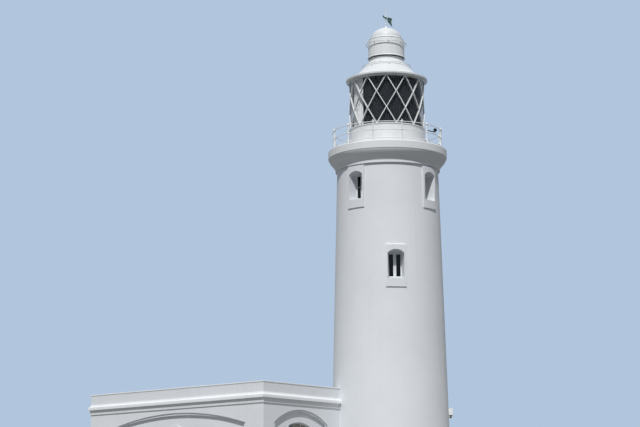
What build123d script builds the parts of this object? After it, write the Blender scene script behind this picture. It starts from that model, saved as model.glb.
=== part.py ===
"""A white masonry lighthouse: tapering tower, gallery, latticed lantern and a low side building."""
import os
from math import asin, cos, degrees, hypot, radians, sin

from build123d import *

os.makedirs("parts", exist_ok=True)

# All sizes are in millimetres. Z is up, the tower's axis is X = Y = 0 and the ground is Z = 0.
# An azimuth is counted from -Y towards +X, so 0 looks out over -Y and 90 over +X.

# Tower shaft
GROUND_RADIUS = 3362.0  # outside radius at the ground
BATTER = 0.0265  # loss of outside radius for each unit of height
BORE_RADIUS = 2150.0  # clear round room inside
LOWER_STOREY = 10150.0  # from the ground to the first floor's top
MIDDLE_STOREY = 4590.0  # from the first floor's top to the second floor's
UPPER_STOREY = 2605.0  # from the second floor's top to the neck fillet
FLOOR_THICKNESS = 250.0
GROUND_SLAB = 200.0
SECTORS = 8  # each storey's ring is built in this many vertical blocks

# Gallery, from the neck fillet up to the deck
NECK_HEIGHT = 135.0
NECK_PROJECTION = 100.0
OGEE_HEIGHT = 560.0
OGEE_FOOT_ANGLE = 66.0  # slope of the ogee at its foot and at its top
BEAD_HEIGHT = 60.0
BEAD_SETBACK = 30.0
DECK_THICKNESS = 450.0
DECK_RADIUS = 3410.0
DECK_NOSING = 60.0

# Railing
STANCHIONS = 12
RAILING_SETBACK = 266.0  # from the deck's edge to the middle of the railing
STANCHION_TURN = 23.7  # azimuth of the first stanchion
STANCHION_RADIUS = 42.0
STANCHION_FOOT = 75.0
STANCHION_FOOT_HEIGHT = 60.0
TOP_RAIL_HEIGHT = 1105.0
MID_RAIL_HEIGHT = 640.0
TOE_RAIL_HEIGHT = 165.0
TOP_BALL_RADIUS = 75.0
TOP_KNOB_RADIUS = 38.0
TOP_KNOB_LIFT = 98.0  # above the ball's centre
MID_BALL_RADIUS = 62.0
RAIL_RADIUS = 22.0

# Tower windows, one plumb panel and one splayed opening each
WINDOW_TURN = 0.8  # the windows face a little past the low building's axes
PANEL_WIDTH = 1140.0
PANEL_PROJECTION = 55.0  # at the panel's foot
PANEL_WEATHERING = 70.0  # height of the slope at the panel's top
PANEL_BITE = 30.0  # how far that slope runs on into the wall
PANEL_FOOT = 130.0  # above the floor of its storey
PANEL_HEIGHT = 2430.0
OPENING_WIDTH = 940.0
OPENING_SPLAY = 75.0  # loss of half width from the face to the frame
OPENING_SILL = 470.0  # above the foot of the panel
SILL_FALL = 105.0  # the sill rises this much to the frame
OPENING_SPRING = 1900.0  # above the foot of the panel
OPENING_RISE = 200.0  # from the spring to the crown
HEAD_FALL = 10.0
REVEAL_DEPTH = 620.0
FRAME_DEPTH = 70.0
FRAME_BAR = 70.0
MULLION = 170.0
PANE_THICKNESS = 12.0
CUTTER_LEAD = 200.0  # cutting shapes start this far outside a face

# Tower door
DOOR_AZIMUTH = 135.0
DOOR_WIDTH = 1000.0
DOOR_HEIGHT = 2200.0
DOOR_REVEAL = 450.0
DOOR_THICKNESS = 60.0
DOOR_FRAME = 70.0
DOOR_FRAME_PROJECTION = 35.0
LAMP_AZIMUTH = 130.0
LAMP_LEVEL = 3400.0
LAMP_WIDTH = 240.0
LAMP_HEIGHT = 380.0
LAMP_PROJECTION = 220.0
LAMP_FOOT = 140.0

# Lantern
LATTICE_BAYS = 12
LATTICE_TURN = 7.7  # azimuth of the first top crossing
LATTICE_RADIUS = 2140.0
LATTICE_STEP = 938.0  # height from one row of crossings to the next
LATTICE_ROWS = 3
LATTICE_HEADROOM = 66.0  # from the top crossings to the soffit
BAR_WIDTH = 44.0
BAR_DEPTH = 95.0
BAR_LAP = 16.0  # extra length that closes the corner where two bars meet
GLASS_THICKNESS = 12.0
LANTERN_WALL_PROJECTION = 40.0  # outside the lattice's middle
LANTERN_WALL_HEIGHT = 1210.0
LANTERN_WALL_THICKNESS = 160.0
LANTERN_SILL_THICKNESS = 50.0
LANTERN_SILL_PROJECTION = 35.0
GALLERY_DOOR_AZIMUTH = 225.0
GALLERY_DOOR_WIDTH = 620.0
GALLERY_DOOR_HEIGHT = 1120.0
GALLERY_DOOR_THICKNESS = 50.0
BLIND_CLEARANCE = 75.0
BLIND_THICKNESS = 20.0
RING_MARGIN = 40.0  # how far the sill and head rings reach inside the blinds
WHITE_BLIND_START_AZIMUTH = -36.8
WHITE_BLIND_END_AZIMUTH = -5.4
SIDE_LAMP_STANCHION = 2  # counted on from the first stanchion
SIDE_LAMP_REACH = 690.0
SIDE_LAMP_LEVEL = 750.0  # above the deck
SIDE_LAMP_ARM = 28.0
SIDE_LAMP_STEM = 60.0
SIDE_LAMP_RADIUS = 90.0
SIDE_LAMP_HEIGHT = 130.0
SIDE_LAMP_CAP = 40.0

# Lantern roof, from the eave up to the ventilator's neck
EAVE_OVERHANG = 215.0  # outside the lattice's middle
EAVE_HEIGHT = 85.0
ROUNDING_WIDTH = 405.0
ROUNDING_HEIGHT = 145.0
NOSE_BULGE = 0.55  # how full the rounded edge is, 0.5 being a straight bevel
FLARE_WIDTH = 250.0
FLARE_HEIGHT = 190.0
CONE_HEIGHT = 790.0
ROOF_SHEET = 40.0
HEAD_RING_HEIGHT = 90.0
HEAD_RING_PROJECTION = 25.0
NECK_RADIUS = 985.0
COWL_NECK_HEIGHT = 200.0  # from the roof to the drum's lip
NECK_BEAD_HEIGHT = 90.0  # of the bead above the roof
NECK_BEAD = 30.0
DRUM_OVERHANG = 65.0
DRUM_HEIGHT = 1020.0
DRUM_LIP = 45.0
DRUM_SHOULDER = 120.0
COWL_SHEET = 30.0
DOME_SETBACK = 145.0
DOME_HEIGHT = 715.0
DOME_STEP = 20.0
DOME_FLANK_RADIUS = 588.0  # of the dome's lower arc in profile
ROOF_RAIL_SETOUT = 400.0  # outside the neck
ROOF_RAIL_HEIGHT = 140.0  # above the roof sheet
DRUM_RAIL_STANDOFF = 110.0
DRUM_RAIL_DROP = 190.0  # below the drum's top
RING_RAIL_TUBE = 24.0
RAIL_BRACKETS = 8
BRACKET_RADIUS = 14.0

# Finial and vane, with heights above the dome
FINIAL_HEIGHT = 1195.0
FINIAL_ROD = 26.0
FINIAL_POINT = 9.0
FINIAL_FOOT = 110.0
FINIAL_COLLAR = 42.0
COLLAR_HEIGHT = 60.0
FINIAL_BEAD_HEIGHTS = (235.0, 380.0)
FINIAL_BEAD_RADIUS = 50.0
VANE_HEIGHT = 605.0
VANE_AZIMUTH = 17.0
VANE_HUB = 46.0
VANE_BORE_CLEARANCE = 2.0
VANE_HUB_HEIGHT = 150.0
VANE_GAP = 0.5
VANE_POINTER = 520.0
VANE_TAIL = 1020.0
VANE_PLATE = 14.0
VANE_TAIL_ROOT = 280.0
VANE_TAIL_ROOT_HALF = 130.0
VANE_TAIL_HALF = 260.0
VANE_TAIL_NOTCH = 160.0
VANE_HEAD_LENGTH = 200.0
VANE_HEAD_HALF = 90.0
VANE_ARM = 16.0
VANE_ARM_LAP = 60.0

# Low building
ANNEX_EAST_SETBACK = 1163.0  # from the tower's axis to the east face
ANNEX_LENGTH = 13337.0
ANNEX_DEPTH = 9357.0
ANNEX_NORTH = 0.0
ANNEX_WALL = 450.0
ANNEX_ROOF_TOP = 4150.0
ANNEX_ROOF_THICKNESS = 250.0
PARAPET_HEIGHT = 670.0  # above the roof
COPING_THICKNESS = 100.0
COPING_PROJECTION = 50.0
CORNICE_LOW = 3660.0
CORNICE_BAND_HEIGHT = 260.0
CORNICE_FASCIA_HEIGHT = 250.0
CORNICE_WEATHERING = 80.0
WEATHERING_EDGE = 10.0
BAND_PROJECTION = 55.0
FASCIA_PROJECTION = 140.0
RECESS_STEP = 80.0
RECESS_INSET = 120.0
PLINTH_HEIGHT = 300.0
ARCH_SPRING = 2670.0
ARCH_RISE = 760.0
LONG_ARCH_WIDTH = 10700.0
SHORT_ARCH_WIDTH = 4400.0
EAST_ARCH_SETBACK = 3057.0  # from the south-east corner to the arch's middle
ANNEX_WINDOW_WIDTH = 1730.0
ANNEX_WINDOW_SILL = 1000.0
ANNEX_WINDOW_HEIGHT = 1760.0
ANNEX_WINDOW_RISE = 200.0
ANNEX_WINDOW_REVEAL = 300.0
FANLIGHT_HEIGHT = 710.0  # from the transom to the crown
ANNEX_DOOR_WIDTH = 920.0
ANNEX_DOOR_CROWN = 2600.0
ANNEX_LEAF_REVEAL = 120.0
ANNEX_LEAF = 55.0
ANNEX_HOOD_WIDTH = 170.0
ANNEX_HOOD_PROJECTION = 45.0

# Levels of the tower, each stacked on the one below
FIRST_FLOOR_TOP = LOWER_STOREY
SECOND_FLOOR_TOP = FIRST_FLOOR_TOP + MIDDLE_STOREY
MID_PANEL_LOW = FIRST_FLOOR_TOP + PANEL_FOOT
UPPER_PANEL_LOW = SECOND_FLOOR_TOP + PANEL_FOOT
NECK_LOW = SECOND_FLOOR_TOP + UPPER_STOREY
OGEE_LOW = NECK_LOW + NECK_HEIGHT
BEAD_LOW = OGEE_LOW + OGEE_HEIGHT
SOFFIT_LEVEL = BEAD_LOW + BEAD_HEIGHT
DECK_LEVEL = SOFFIT_LEVEL + DECK_THICKNESS
LANTERN_WALL_TOP = DECK_LEVEL + LANTERN_WALL_HEIGHT
LATTICE_LOW = LANTERN_WALL_TOP + LANTERN_SILL_THICKNESS
EAVE_LOW = LATTICE_LOW + LATTICE_ROWS * LATTICE_STEP + LATTICE_HEADROOM
EAVE_TOP = EAVE_LOW + EAVE_HEIGHT
SHOULDER_LEVEL = EAVE_TOP + ROUNDING_HEIGHT
FLARE_LEVEL = SHOULDER_LEVEL + FLARE_HEIGHT
NECK_FOOT = FLARE_LEVEL + CONE_HEIGHT
NECK_BEAD_LEVEL = NECK_FOOT + NECK_BEAD_HEIGHT
DRUM_LOW = NECK_FOOT + COWL_NECK_HEIGHT
DRUM_TOP = DRUM_LOW + DRUM_HEIGHT
DOME_FOOT = DRUM_TOP + DRUM_SHOULDER
DOME_TOP = DOME_FOOT + DOME_HEIGHT
VANE_LEVEL = DOME_TOP + VANE_HEIGHT
FINIAL_TIP = DOME_TOP + FINIAL_HEIGHT

# Radii that follow from others
RAILING_RADIUS = DECK_RADIUS - RAILING_SETBACK
LANTERN_WALL_RADIUS = LATTICE_RADIUS + LANTERN_WALL_PROJECTION
EAVE_RADIUS = LATTICE_RADIUS + EAVE_OVERHANG
SHOULDER_RADIUS = EAVE_RADIUS - ROUNDING_WIDTH
FLARE_RADIUS = SHOULDER_RADIUS - FLARE_WIDTH
DRUM_RADIUS = NECK_RADIUS + DRUM_OVERHANG
DOME_RADIUS = DRUM_RADIUS - DOME_SETBACK
ROOF_RAIL_RADIUS = NECK_RADIUS + ROOF_RAIL_SETOUT
DRUM_RAIL_RADIUS = DRUM_RADIUS + DRUM_RAIL_STANDOFF

# Places and levels of the low building
ANNEX_EAST = -ANNEX_EAST_SETBACK
ANNEX_WEST = ANNEX_EAST - ANNEX_LENGTH
ANNEX_SOUTH = ANNEX_NORTH - ANNEX_DEPTH
PARAPET_TOP = ANNEX_ROOF_TOP + PARAPET_HEIGHT
CORNICE_FASCIA_LOW = CORNICE_LOW + CORNICE_BAND_HEIGHT
CORNICE_CREST = CORNICE_FASCIA_LOW + CORNICE_FASCIA_HEIGHT
ARCH_CROWN = ARCH_SPRING + ARCH_RISE
EAST_ARCH_CENTRE = ANNEX_SOUTH + EAST_ARCH_SETBACK
ANNEX_WINDOW_CROWN = ANNEX_WINDOW_SILL + ANNEX_WINDOW_HEIGHT
ANNEX_TRANSOM = ANNEX_WINDOW_CROWN - FANLIGHT_HEIGHT

SECTOR_ANGLE = 360.0 / SECTORS
AXIS_AZIMUTHS = (0.0, 90.0, 180.0, 270.0)
DIAGONAL_AZIMUTHS = (45.0, 135.0, 225.0, 315.0)
MID_WINDOW_AZIMUTHS = (45.0, 225.0)
FAR = 20000.0
FULL_TURN = 360.0


def shaft_radius(level):
    """Outside radius of the battered shaft."""
    return GROUND_RADIUS - BATTER * level


def turned(azimuth):
    """A turn about the tower's axis, from facing -Y to facing an azimuth."""
    return Location((0, 0, 0), (0, 0, azimuth))


def half_plane(azimuth):
    """The upright plane from the tower's axis out to an azimuth: local X is the radius, Y the height."""
    turn = radians(azimuth - 90)
    return Plane(origin=(0, 0, 0), x_dir=(cos(turn), sin(turn), 0), z_dir=(sin(turn), -cos(turn), 0))


def arch_outline(width, low, spring, crown):
    """A sketch outline: an upright opening with a segmental head, centred on local X = 0."""
    half = width / 2
    with BuildLine() as outline:
        Polyline((half, spring), (half, low), (-half, low), (-half, spring))
        ThreePointArc((-half, spring), (0, crown), (half, spring))
    return outline.line


def wall_sectors(azimuths, low, high):
    """Blocks of the battered ring wall, one sector wide, centred on the azimuths."""
    for azimuth in azimuths:
        with BuildSketch(half_plane(azimuth + WINDOW_TURN - SECTOR_ANGLE / 2)) as section:
            with BuildLine():
                Polyline(
                    (BORE_RADIUS, low),
                    (shaft_radius(low), low),
                    (shaft_radius(high), high),
                    (BORE_RADIUS, high),
                    close=True,
                )
            make_face()
        revolve(section.sketch, axis=Axis.Z, revolution_arc=SECTOR_ANGLE)


def window_bay(low, high, panel_low):
    """One wall sector facing -Y with its plumb panel and its splayed opening."""
    panel_high = min(panel_low + PANEL_HEIGHT, high)
    panel_radius = shaft_radius(panel_low) + PANEL_PROJECTION
    panel_angle = 2 * degrees(asin(PANEL_WIDTH / 2 / panel_radius))
    face = panel_radius
    with BuildPart() as bay:
        wall_sectors([-WINDOW_TURN], low, high)
        with BuildSketch(half_plane(-panel_angle / 2)):
            with BuildLine():
                Polyline(
                    (BORE_RADIUS + REVEAL_DEPTH, panel_low),
                    (panel_radius, panel_low),
                    (panel_radius, panel_high - PANEL_WEATHERING),
                    (shaft_radius(panel_high) - PANEL_BITE, panel_high),
                    (BORE_RADIUS + REVEAL_DEPTH, panel_high),
                    close=True,
                )
            make_face()
        revolve(axis=Axis.Z, revolution_arc=panel_angle)
        for share, depth in ((-CUTTER_LEAD / REVEAL_DEPTH, -CUTTER_LEAD), (1.0, REVEAL_DEPTH)):
            with BuildSketch(Plane.XZ.offset(face - depth)):
                with BuildLine():
                    add(
                        arch_outline(
                            OPENING_WIDTH - 2 * OPENING_SPLAY * share,
                            panel_low + OPENING_SILL + SILL_FALL * share,
                            panel_low + OPENING_SPRING - HEAD_FALL * share,
                            panel_low + OPENING_SPRING + OPENING_RISE - HEAD_FALL * share,
                        )
                    )
                make_face()
        loft(mode=Mode.SUBTRACT)
        with BuildSketch(Plane.XZ.offset(face - REVEAL_DEPTH)):
            with BuildLine():
                add(inner_outline(panel_low))
            make_face()
        extrude(amount=-(face - REVEAL_DEPTH), mode=Mode.SUBTRACT)
    return bay.part


def inner_outline(panel_low):
    """The opening's outline at the window frame and behind it."""
    return arch_outline(
        OPENING_WIDTH - 2 * OPENING_SPLAY,
        panel_low + OPENING_SILL + SILL_FALL,
        panel_low + OPENING_SPRING - HEAD_FALL,
        panel_low + OPENING_SPRING + OPENING_RISE - HEAD_FALL,
    )


def middle_slab(width):
    """The upright slab that divides a bay into its side piers and what stands between them."""
    return Pos(0, -FAR / 2, 0) * Box(width, FAR, 4 * FAR, mode=Mode.PRIVATE)


def place_bays(bay, azimuths, width, between):
    """The side piers of a bay, or the blocks between them, at each azimuth."""
    slab = middle_slab(width)
    for azimuth in azimuths:
        block = bay & slab if between else bay - slab
        for solid in block.solids():
            add(turned(azimuth + WINDOW_TURN) * solid)


INNER_WIDTH = OPENING_WIDTH - 2 * OPENING_SPLAY

# Tower floors
with BuildPart() as ground_floor:
    Cylinder(BORE_RADIUS, GROUND_SLAB, align=(Align.CENTER, Align.CENTER, Align.MIN))
ground_floor.part.label = "ground_floor"
export_step(ground_floor.part, "parts/ground_floor.step")

with BuildPart() as first_floor:
    with Locations((0, 0, FIRST_FLOOR_TOP)):
        Cylinder(BORE_RADIUS, FLOOR_THICKNESS, align=(Align.CENTER, Align.CENTER, Align.MAX))
first_floor.part.label = "first_floor"
export_step(first_floor.part, "parts/first_floor.step")

with BuildPart() as second_floor:
    with Locations((0, 0, SECOND_FLOOR_TOP)):
        Cylinder(BORE_RADIUS, FLOOR_THICKNESS, align=(Align.CENTER, Align.CENTER, Align.MAX))
second_floor.part.label = "second_floor"
export_step(second_floor.part, "parts/second_floor.step")

# Lower storey
with BuildPart() as lower_wall_axes:
    wall_sectors(AXIS_AZIMUTHS, 0, FIRST_FLOOR_TOP)
lower_wall_axes.part.label = "lower_wall_axes"
export_step(lower_wall_axes.part, "parts/lower_wall_axes.step")

with BuildPart() as lower_wall_diagonals:
    wall_sectors([a for a in DIAGONAL_AZIMUTHS if a != DOOR_AZIMUTH], 0, FIRST_FLOOR_TOP)
lower_wall_diagonals.part.label = "lower_wall_diagonals"
export_step(lower_wall_diagonals.part, "parts/lower_wall_diagonals.step")

with BuildPart() as door_bay:
    wall_sectors([-WINDOW_TURN], 0, FIRST_FLOOR_TOP)
    with Locations((0, -shaft_radius(0), 0)):
        Box(
            DOOR_WIDTH,
            FAR,
            2 * DOOR_HEIGHT,
            align=(Align.CENTER, Align.CENTER, Align.CENTER),
            mode=Mode.SUBTRACT,
        )

with BuildPart() as door_piers:
    place_bays(door_bay.part, [DOOR_AZIMUTH], DOOR_WIDTH, between=False)
door_piers.part.label = "door_piers"
export_step(door_piers.part, "parts/door_piers.step")

with BuildPart() as door_head:
    place_bays(door_bay.part, [DOOR_AZIMUTH], DOOR_WIDTH, between=True)
door_head.part.label = "door_head"
export_step(door_head.part, "parts/door_head.step")

DOOR_FACE = (shaft_radius(0) ** 2 - (DOOR_WIDTH / 2) ** 2) ** 0.5 - DOOR_REVEAL
with BuildPart() as tower_door:
    with BuildSketch(Plane.XZ.offset(DOOR_FACE)):
        Rectangle(DOOR_WIDTH, DOOR_HEIGHT, align=(Align.CENTER, Align.MIN))
    extrude(amount=-DOOR_THICKNESS)
    with BuildSketch(Plane.XZ.offset(DOOR_FACE)):
        Rectangle(DOOR_WIDTH, DOOR_HEIGHT, align=(Align.CENTER, Align.MIN))
        Rectangle(
            DOOR_WIDTH - 2 * DOOR_FRAME,
            DOOR_HEIGHT - DOOR_FRAME,
            align=(Align.CENTER, Align.MIN),
            mode=Mode.SUBTRACT,
        )
    extrude(amount=DOOR_FRAME_PROJECTION)
tower_door.part = turned(DOOR_AZIMUTH + WINDOW_TURN) * tower_door.part
tower_door.part.label = "tower_door"
export_step(tower_door.part, "parts/tower_door.step")

# Middle storey, with a window on two of its diagonals
with BuildPart() as mid_wall_axes:
    wall_sectors(AXIS_AZIMUTHS, FIRST_FLOOR_TOP, SECOND_FLOOR_TOP)
mid_wall_axes.part.label = "mid_wall_axes"
export_step(mid_wall_axes.part, "parts/mid_wall_axes.step")

with BuildPart() as mid_wall_diagonals:
    blank_azimuths = [a for a in DIAGONAL_AZIMUTHS if a not in MID_WINDOW_AZIMUTHS]
    wall_sectors(blank_azimuths, FIRST_FLOOR_TOP, SECOND_FLOOR_TOP)
mid_wall_diagonals.part.label = "mid_wall_diagonals"
export_step(mid_wall_diagonals.part, "parts/mid_wall_diagonals.step")

mid_bay = window_bay(FIRST_FLOOR_TOP, SECOND_FLOOR_TOP, MID_PANEL_LOW)

with BuildPart() as mid_window_piers:
    place_bays(mid_bay, MID_WINDOW_AZIMUTHS, INNER_WIDTH, between=False)
mid_window_piers.part.label = "mid_window_piers"
export_step(mid_window_piers.part, "parts/mid_window_piers.step")

with BuildPart() as mid_window_spandrels:
    place_bays(mid_bay, MID_WINDOW_AZIMUTHS, INNER_WIDTH, between=True)
mid_window_spandrels.part.label = "mid_window_spandrels"
export_step(mid_window_spandrels.part, "parts/mid_window_spandrels.step")

# Upper storey, with a window on each axis
with BuildPart() as upper_wall_diagonals:
    wall_sectors(DIAGONAL_AZIMUTHS, SECOND_FLOOR_TOP, NECK_LOW)
upper_wall_diagonals.part.label = "upper_wall_diagonals"
export_step(upper_wall_diagonals.part, "parts/upper_wall_diagonals.step")

upper_bay = window_bay(SECOND_FLOOR_TOP, NECK_LOW, UPPER_PANEL_LOW)

with BuildPart() as upper_window_piers:
    place_bays(upper_bay, AXIS_AZIMUTHS, INNER_WIDTH, between=False)
upper_window_piers.part.label = "upper_window_piers"
export_step(upper_window_piers.part, "parts/upper_window_piers.step")

with BuildPart() as upper_window_spandrels:
    place_bays(upper_bay, AXIS_AZIMUTHS, INNER_WIDTH, between=True)
upper_window_spandrels.part.label = "upper_window_spandrels"
export_step(upper_window_spandrels.part, "parts/upper_window_spandrels.step")


def light_places(panel_low):
    """The centre of each light's foot in a tower window, in the plane of the frame."""
    shift = (MULLION + LIGHT_WIDTH) / 2
    low = panel_low + OPENING_SILL + SILL_FALL + FRAME_BAR
    return [(-shift, low), (shift, low)]


def window_frame(face, panel_low):
    """A two-light window frame facing -Y, with its front on the face distance."""
    with BuildPart() as frame:
        with BuildSketch(Plane.XZ.offset(face)):
            with BuildLine():
                add(inner_outline(panel_low))
            make_face()
            with Locations(*light_places(panel_low)):
                Rectangle(
                    LIGHT_WIDTH,
                    LIGHT_HEIGHT,
                    align=(Align.CENTER, Align.MIN),
                    mode=Mode.SUBTRACT,
                )
        extrude(amount=-FRAME_DEPTH)
    return frame.part


def window_lights(face, panel_low):
    """The two panes of a tower window, in the middle of the frame's depth."""
    with BuildPart() as panes:
        with BuildSketch(Plane.XZ.offset(face - (FRAME_DEPTH - PANE_THICKNESS) / 2)):
            with Locations(*light_places(panel_low)):
                Rectangle(LIGHT_WIDTH, LIGHT_HEIGHT, align=(Align.CENTER, Align.MIN))
        extrude(amount=-PANE_THICKNESS)
    return panes.part


LIGHT_WIDTH = (INNER_WIDTH - 2 * FRAME_BAR - MULLION) / 2
LIGHT_HEIGHT = OPENING_SPRING - HEAD_FALL - OPENING_SILL - SILL_FALL - FRAME_BAR
mid_face = shaft_radius(MID_PANEL_LOW) + PANEL_PROJECTION - REVEAL_DEPTH
upper_face = shaft_radius(UPPER_PANEL_LOW) + PANEL_PROJECTION - REVEAL_DEPTH

with BuildPart() as window_frames:
    for azimuth in MID_WINDOW_AZIMUTHS:
        add(turned(azimuth + WINDOW_TURN) * window_frame(mid_face, MID_PANEL_LOW))
    for azimuth in AXIS_AZIMUTHS:
        add(turned(azimuth + WINDOW_TURN) * window_frame(upper_face, UPPER_PANEL_LOW))
window_frames.part.label = "window_frames"
export_step(window_frames.part, "parts/window_frames.step")

with BuildPart() as window_panes:
    for azimuth in MID_WINDOW_AZIMUTHS:
        add(turned(azimuth + WINDOW_TURN) * window_lights(mid_face, MID_PANEL_LOW))
    for azimuth in AXIS_AZIMUTHS:
        add(turned(azimuth + WINDOW_TURN) * window_lights(upper_face, UPPER_PANEL_LOW))
window_panes.part.label = "window_panes"
export_step(window_panes.part, "parts/window_panes.step")

# The lower storey's full solid, against which the lamp and the low building are cut
with BuildPart() as shaft_solid:
    with BuildSketch(Plane.XZ):
        with BuildLine():
            Polyline(
                (0, 0),
                (shaft_radius(0), 0),
                (shaft_radius(FIRST_FLOOR_TOP), FIRST_FLOOR_TOP),
                (0, FIRST_FLOOR_TOP),
                close=True,
            )
        make_face()
    revolve(axis=Axis.Z)

# Wall lamp above the tower's door
with BuildPart() as wall_lamp:
    with Locations((0, -shaft_radius(LAMP_LEVEL), LAMP_LEVEL)):
        Box(LAMP_WIDTH, 2 * LAMP_PROJECTION, LAMP_HEIGHT, align=(Align.CENTER, Align.CENTER, Align.MIN))
        Box(LAMP_FOOT, 2 * LAMP_PROJECTION, LAMP_FOOT, align=(Align.CENTER, Align.CENTER, Align.MAX))
    add(shaft_solid.part, mode=Mode.SUBTRACT)
wall_lamp.part = turned(LAMP_AZIMUTH) * wall_lamp.part
wall_lamp.part.label = "wall_lamp"
export_step(wall_lamp.part, "parts/wall_lamp.step")

# Gallery: neck fillet, ogee and bead in one ring, then the deck slab
BEAD_RADIUS = DECK_RADIUS - BEAD_SETBACK
FILLET_RADIUS = shaft_radius(NECK_LOW) + NECK_PROJECTION
OGEE_MIDDLE = ((FILLET_RADIUS + BEAD_RADIUS) / 2, (OGEE_LOW + BEAD_LOW) / 2)
OGEE_TANGENT = (cos(radians(OGEE_FOOT_ANGLE)), sin(radians(OGEE_FOOT_ANGLE)))
with BuildPart() as gallery_cornice:
    with BuildSketch(Plane.XZ):
        with BuildLine():
            Polyline(
                (FILLET_RADIUS, OGEE_LOW),
                (FILLET_RADIUS, NECK_LOW),
                (BORE_RADIUS, NECK_LOW),
                (BORE_RADIUS, SOFFIT_LEVEL),
                (BEAD_RADIUS, SOFFIT_LEVEL),
                (BEAD_RADIUS, BEAD_LOW),
            )
            hollow = TangentArc((FILLET_RADIUS, OGEE_LOW), OGEE_MIDDLE, tangent=OGEE_TANGENT)
            TangentArc(OGEE_MIDDLE, (BEAD_RADIUS, BEAD_LOW), tangent=hollow % 1)
        make_face()
    revolve(axis=Axis.Z)
gallery_cornice.part.label = "gallery_cornice"
export_step(gallery_cornice.part, "parts/gallery_cornice.step")

with BuildPart() as gallery_deck:
    with BuildSketch(Plane.XY.offset(SOFFIT_LEVEL)):
        Circle(DECK_RADIUS)
    extrude(amount=DECK_LEVEL - SOFFIT_LEVEL)
    fillet(gallery_deck.edges().group_by(Axis.Z)[-1], DECK_NOSING)
gallery_deck.part.label = "gallery_deck"
export_step(gallery_deck.part, "parts/gallery_deck.step")

# Railing: stanchions with a foot and a ball at each rail, and the rails between the balls
RAIL_START = STANCHION_TURN - FULL_TURN / 4
with BuildPart(Plane.XY.offset(DECK_LEVEL)) as railing_stanchions:
    with PolarLocations(RAILING_RADIUS, STANCHIONS, start_angle=RAIL_START):
        Cylinder(STANCHION_FOOT, STANCHION_FOOT_HEIGHT, align=(Align.CENTER, Align.CENTER, Align.MIN))
        Cylinder(STANCHION_RADIUS, TOP_RAIL_HEIGHT, align=(Align.CENTER, Align.CENTER, Align.MIN))
        with Locations((0, 0, MID_RAIL_HEIGHT)):
            Sphere(MID_BALL_RADIUS)
        with Locations((0, 0, TOP_RAIL_HEIGHT)):
            Sphere(TOP_BALL_RADIUS)
        with Locations((0, 0, TOP_RAIL_HEIGHT + TOP_KNOB_LIFT)):
            Sphere(TOP_KNOB_RADIUS)
railing_stanchions.part.label = "railing_stanchions"
export_step(railing_stanchions.part, "parts/railing_stanchions.step")

with BuildPart() as top_rail:
    with Locations((0, 0, DECK_LEVEL + TOP_RAIL_HEIGHT)):
        Torus(RAILING_RADIUS, RAIL_RADIUS)
    add(railing_stanchions.part, mode=Mode.SUBTRACT)
top_rail.part.label = "top_rail"
export_step(top_rail.part, "parts/top_rail.step")

with BuildPart() as mid_rail:
    with Locations((0, 0, DECK_LEVEL + MID_RAIL_HEIGHT)):
        Torus(RAILING_RADIUS, RAIL_RADIUS)
    add(railing_stanchions.part, mode=Mode.SUBTRACT)
mid_rail.part.label = "mid_rail"
export_step(mid_rail.part, "parts/mid_rail.step")

with BuildPart() as toe_rail:
    with Locations((0, 0, DECK_LEVEL + TOE_RAIL_HEIGHT)):
        Torus(RAILING_RADIUS, RAIL_RADIUS)
    add(railing_stanchions.part, mode=Mode.SUBTRACT)
toe_rail.part.label = "toe_rail"
export_step(toe_rail.part, "parts/toe_rail.step")


def ring_sectors(azimuths, inner, outer, low, high, angle):
    """Upright ring blocks of the given angle, centred on the azimuths."""
    for azimuth in azimuths:
        with BuildSketch(half_plane(azimuth - angle / 2)) as section:
            with BuildLine():
                Polyline((inner, low), (outer, low), (outer, high), (inner, high), close=True)
            make_face()
        revolve(section.sketch, axis=Axis.Z, revolution_arc=angle)


# Lantern's base wall, with the gallery door in it
LANTERN_WALL_BORE = LANTERN_WALL_RADIUS - LANTERN_WALL_THICKNESS
base_wall = (LANTERN_WALL_BORE, LANTERN_WALL_RADIUS, DECK_LEVEL, LANTERN_WALL_TOP, SECTOR_ANGLE)
with BuildPart() as lantern_wall_axes:
    ring_sectors(AXIS_AZIMUTHS, *base_wall)
lantern_wall_axes.part.label = "lantern_wall_axes"
export_step(lantern_wall_axes.part, "parts/lantern_wall_axes.step")

with BuildPart() as gallery_doorway:
    with Locations((0, -LANTERN_WALL_RADIUS, DECK_LEVEL)):
        Box(
            GALLERY_DOOR_WIDTH,
            LANTERN_WALL_RADIUS,
            GALLERY_DOOR_HEIGHT,
            align=(Align.CENTER, Align.CENTER, Align.MIN),
        )

with BuildPart() as lantern_wall_diagonals:
    ring_sectors(DIAGONAL_AZIMUTHS, *base_wall)
    add(turned(GALLERY_DOOR_AZIMUTH) * gallery_doorway.part, mode=Mode.SUBTRACT)
lantern_wall_diagonals.part.label = "lantern_wall_diagonals"
export_step(lantern_wall_diagonals.part, "parts/lantern_wall_diagonals.step")

with BuildPart() as gallery_door:
    with Locations((0, -LANTERN_WALL_BORE - LANTERN_WALL_THICKNESS / 2, DECK_LEVEL)):
        Box(
            GALLERY_DOOR_WIDTH,
            GALLERY_DOOR_THICKNESS,
            GALLERY_DOOR_HEIGHT,
            align=(Align.CENTER, Align.CENTER, Align.MIN),
        )
gallery_door.part = turned(GALLERY_DOOR_AZIMUTH) * gallery_door.part
gallery_door.part.label = "gallery_door"
export_step(gallery_door.part, "parts/gallery_door.step")

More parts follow.
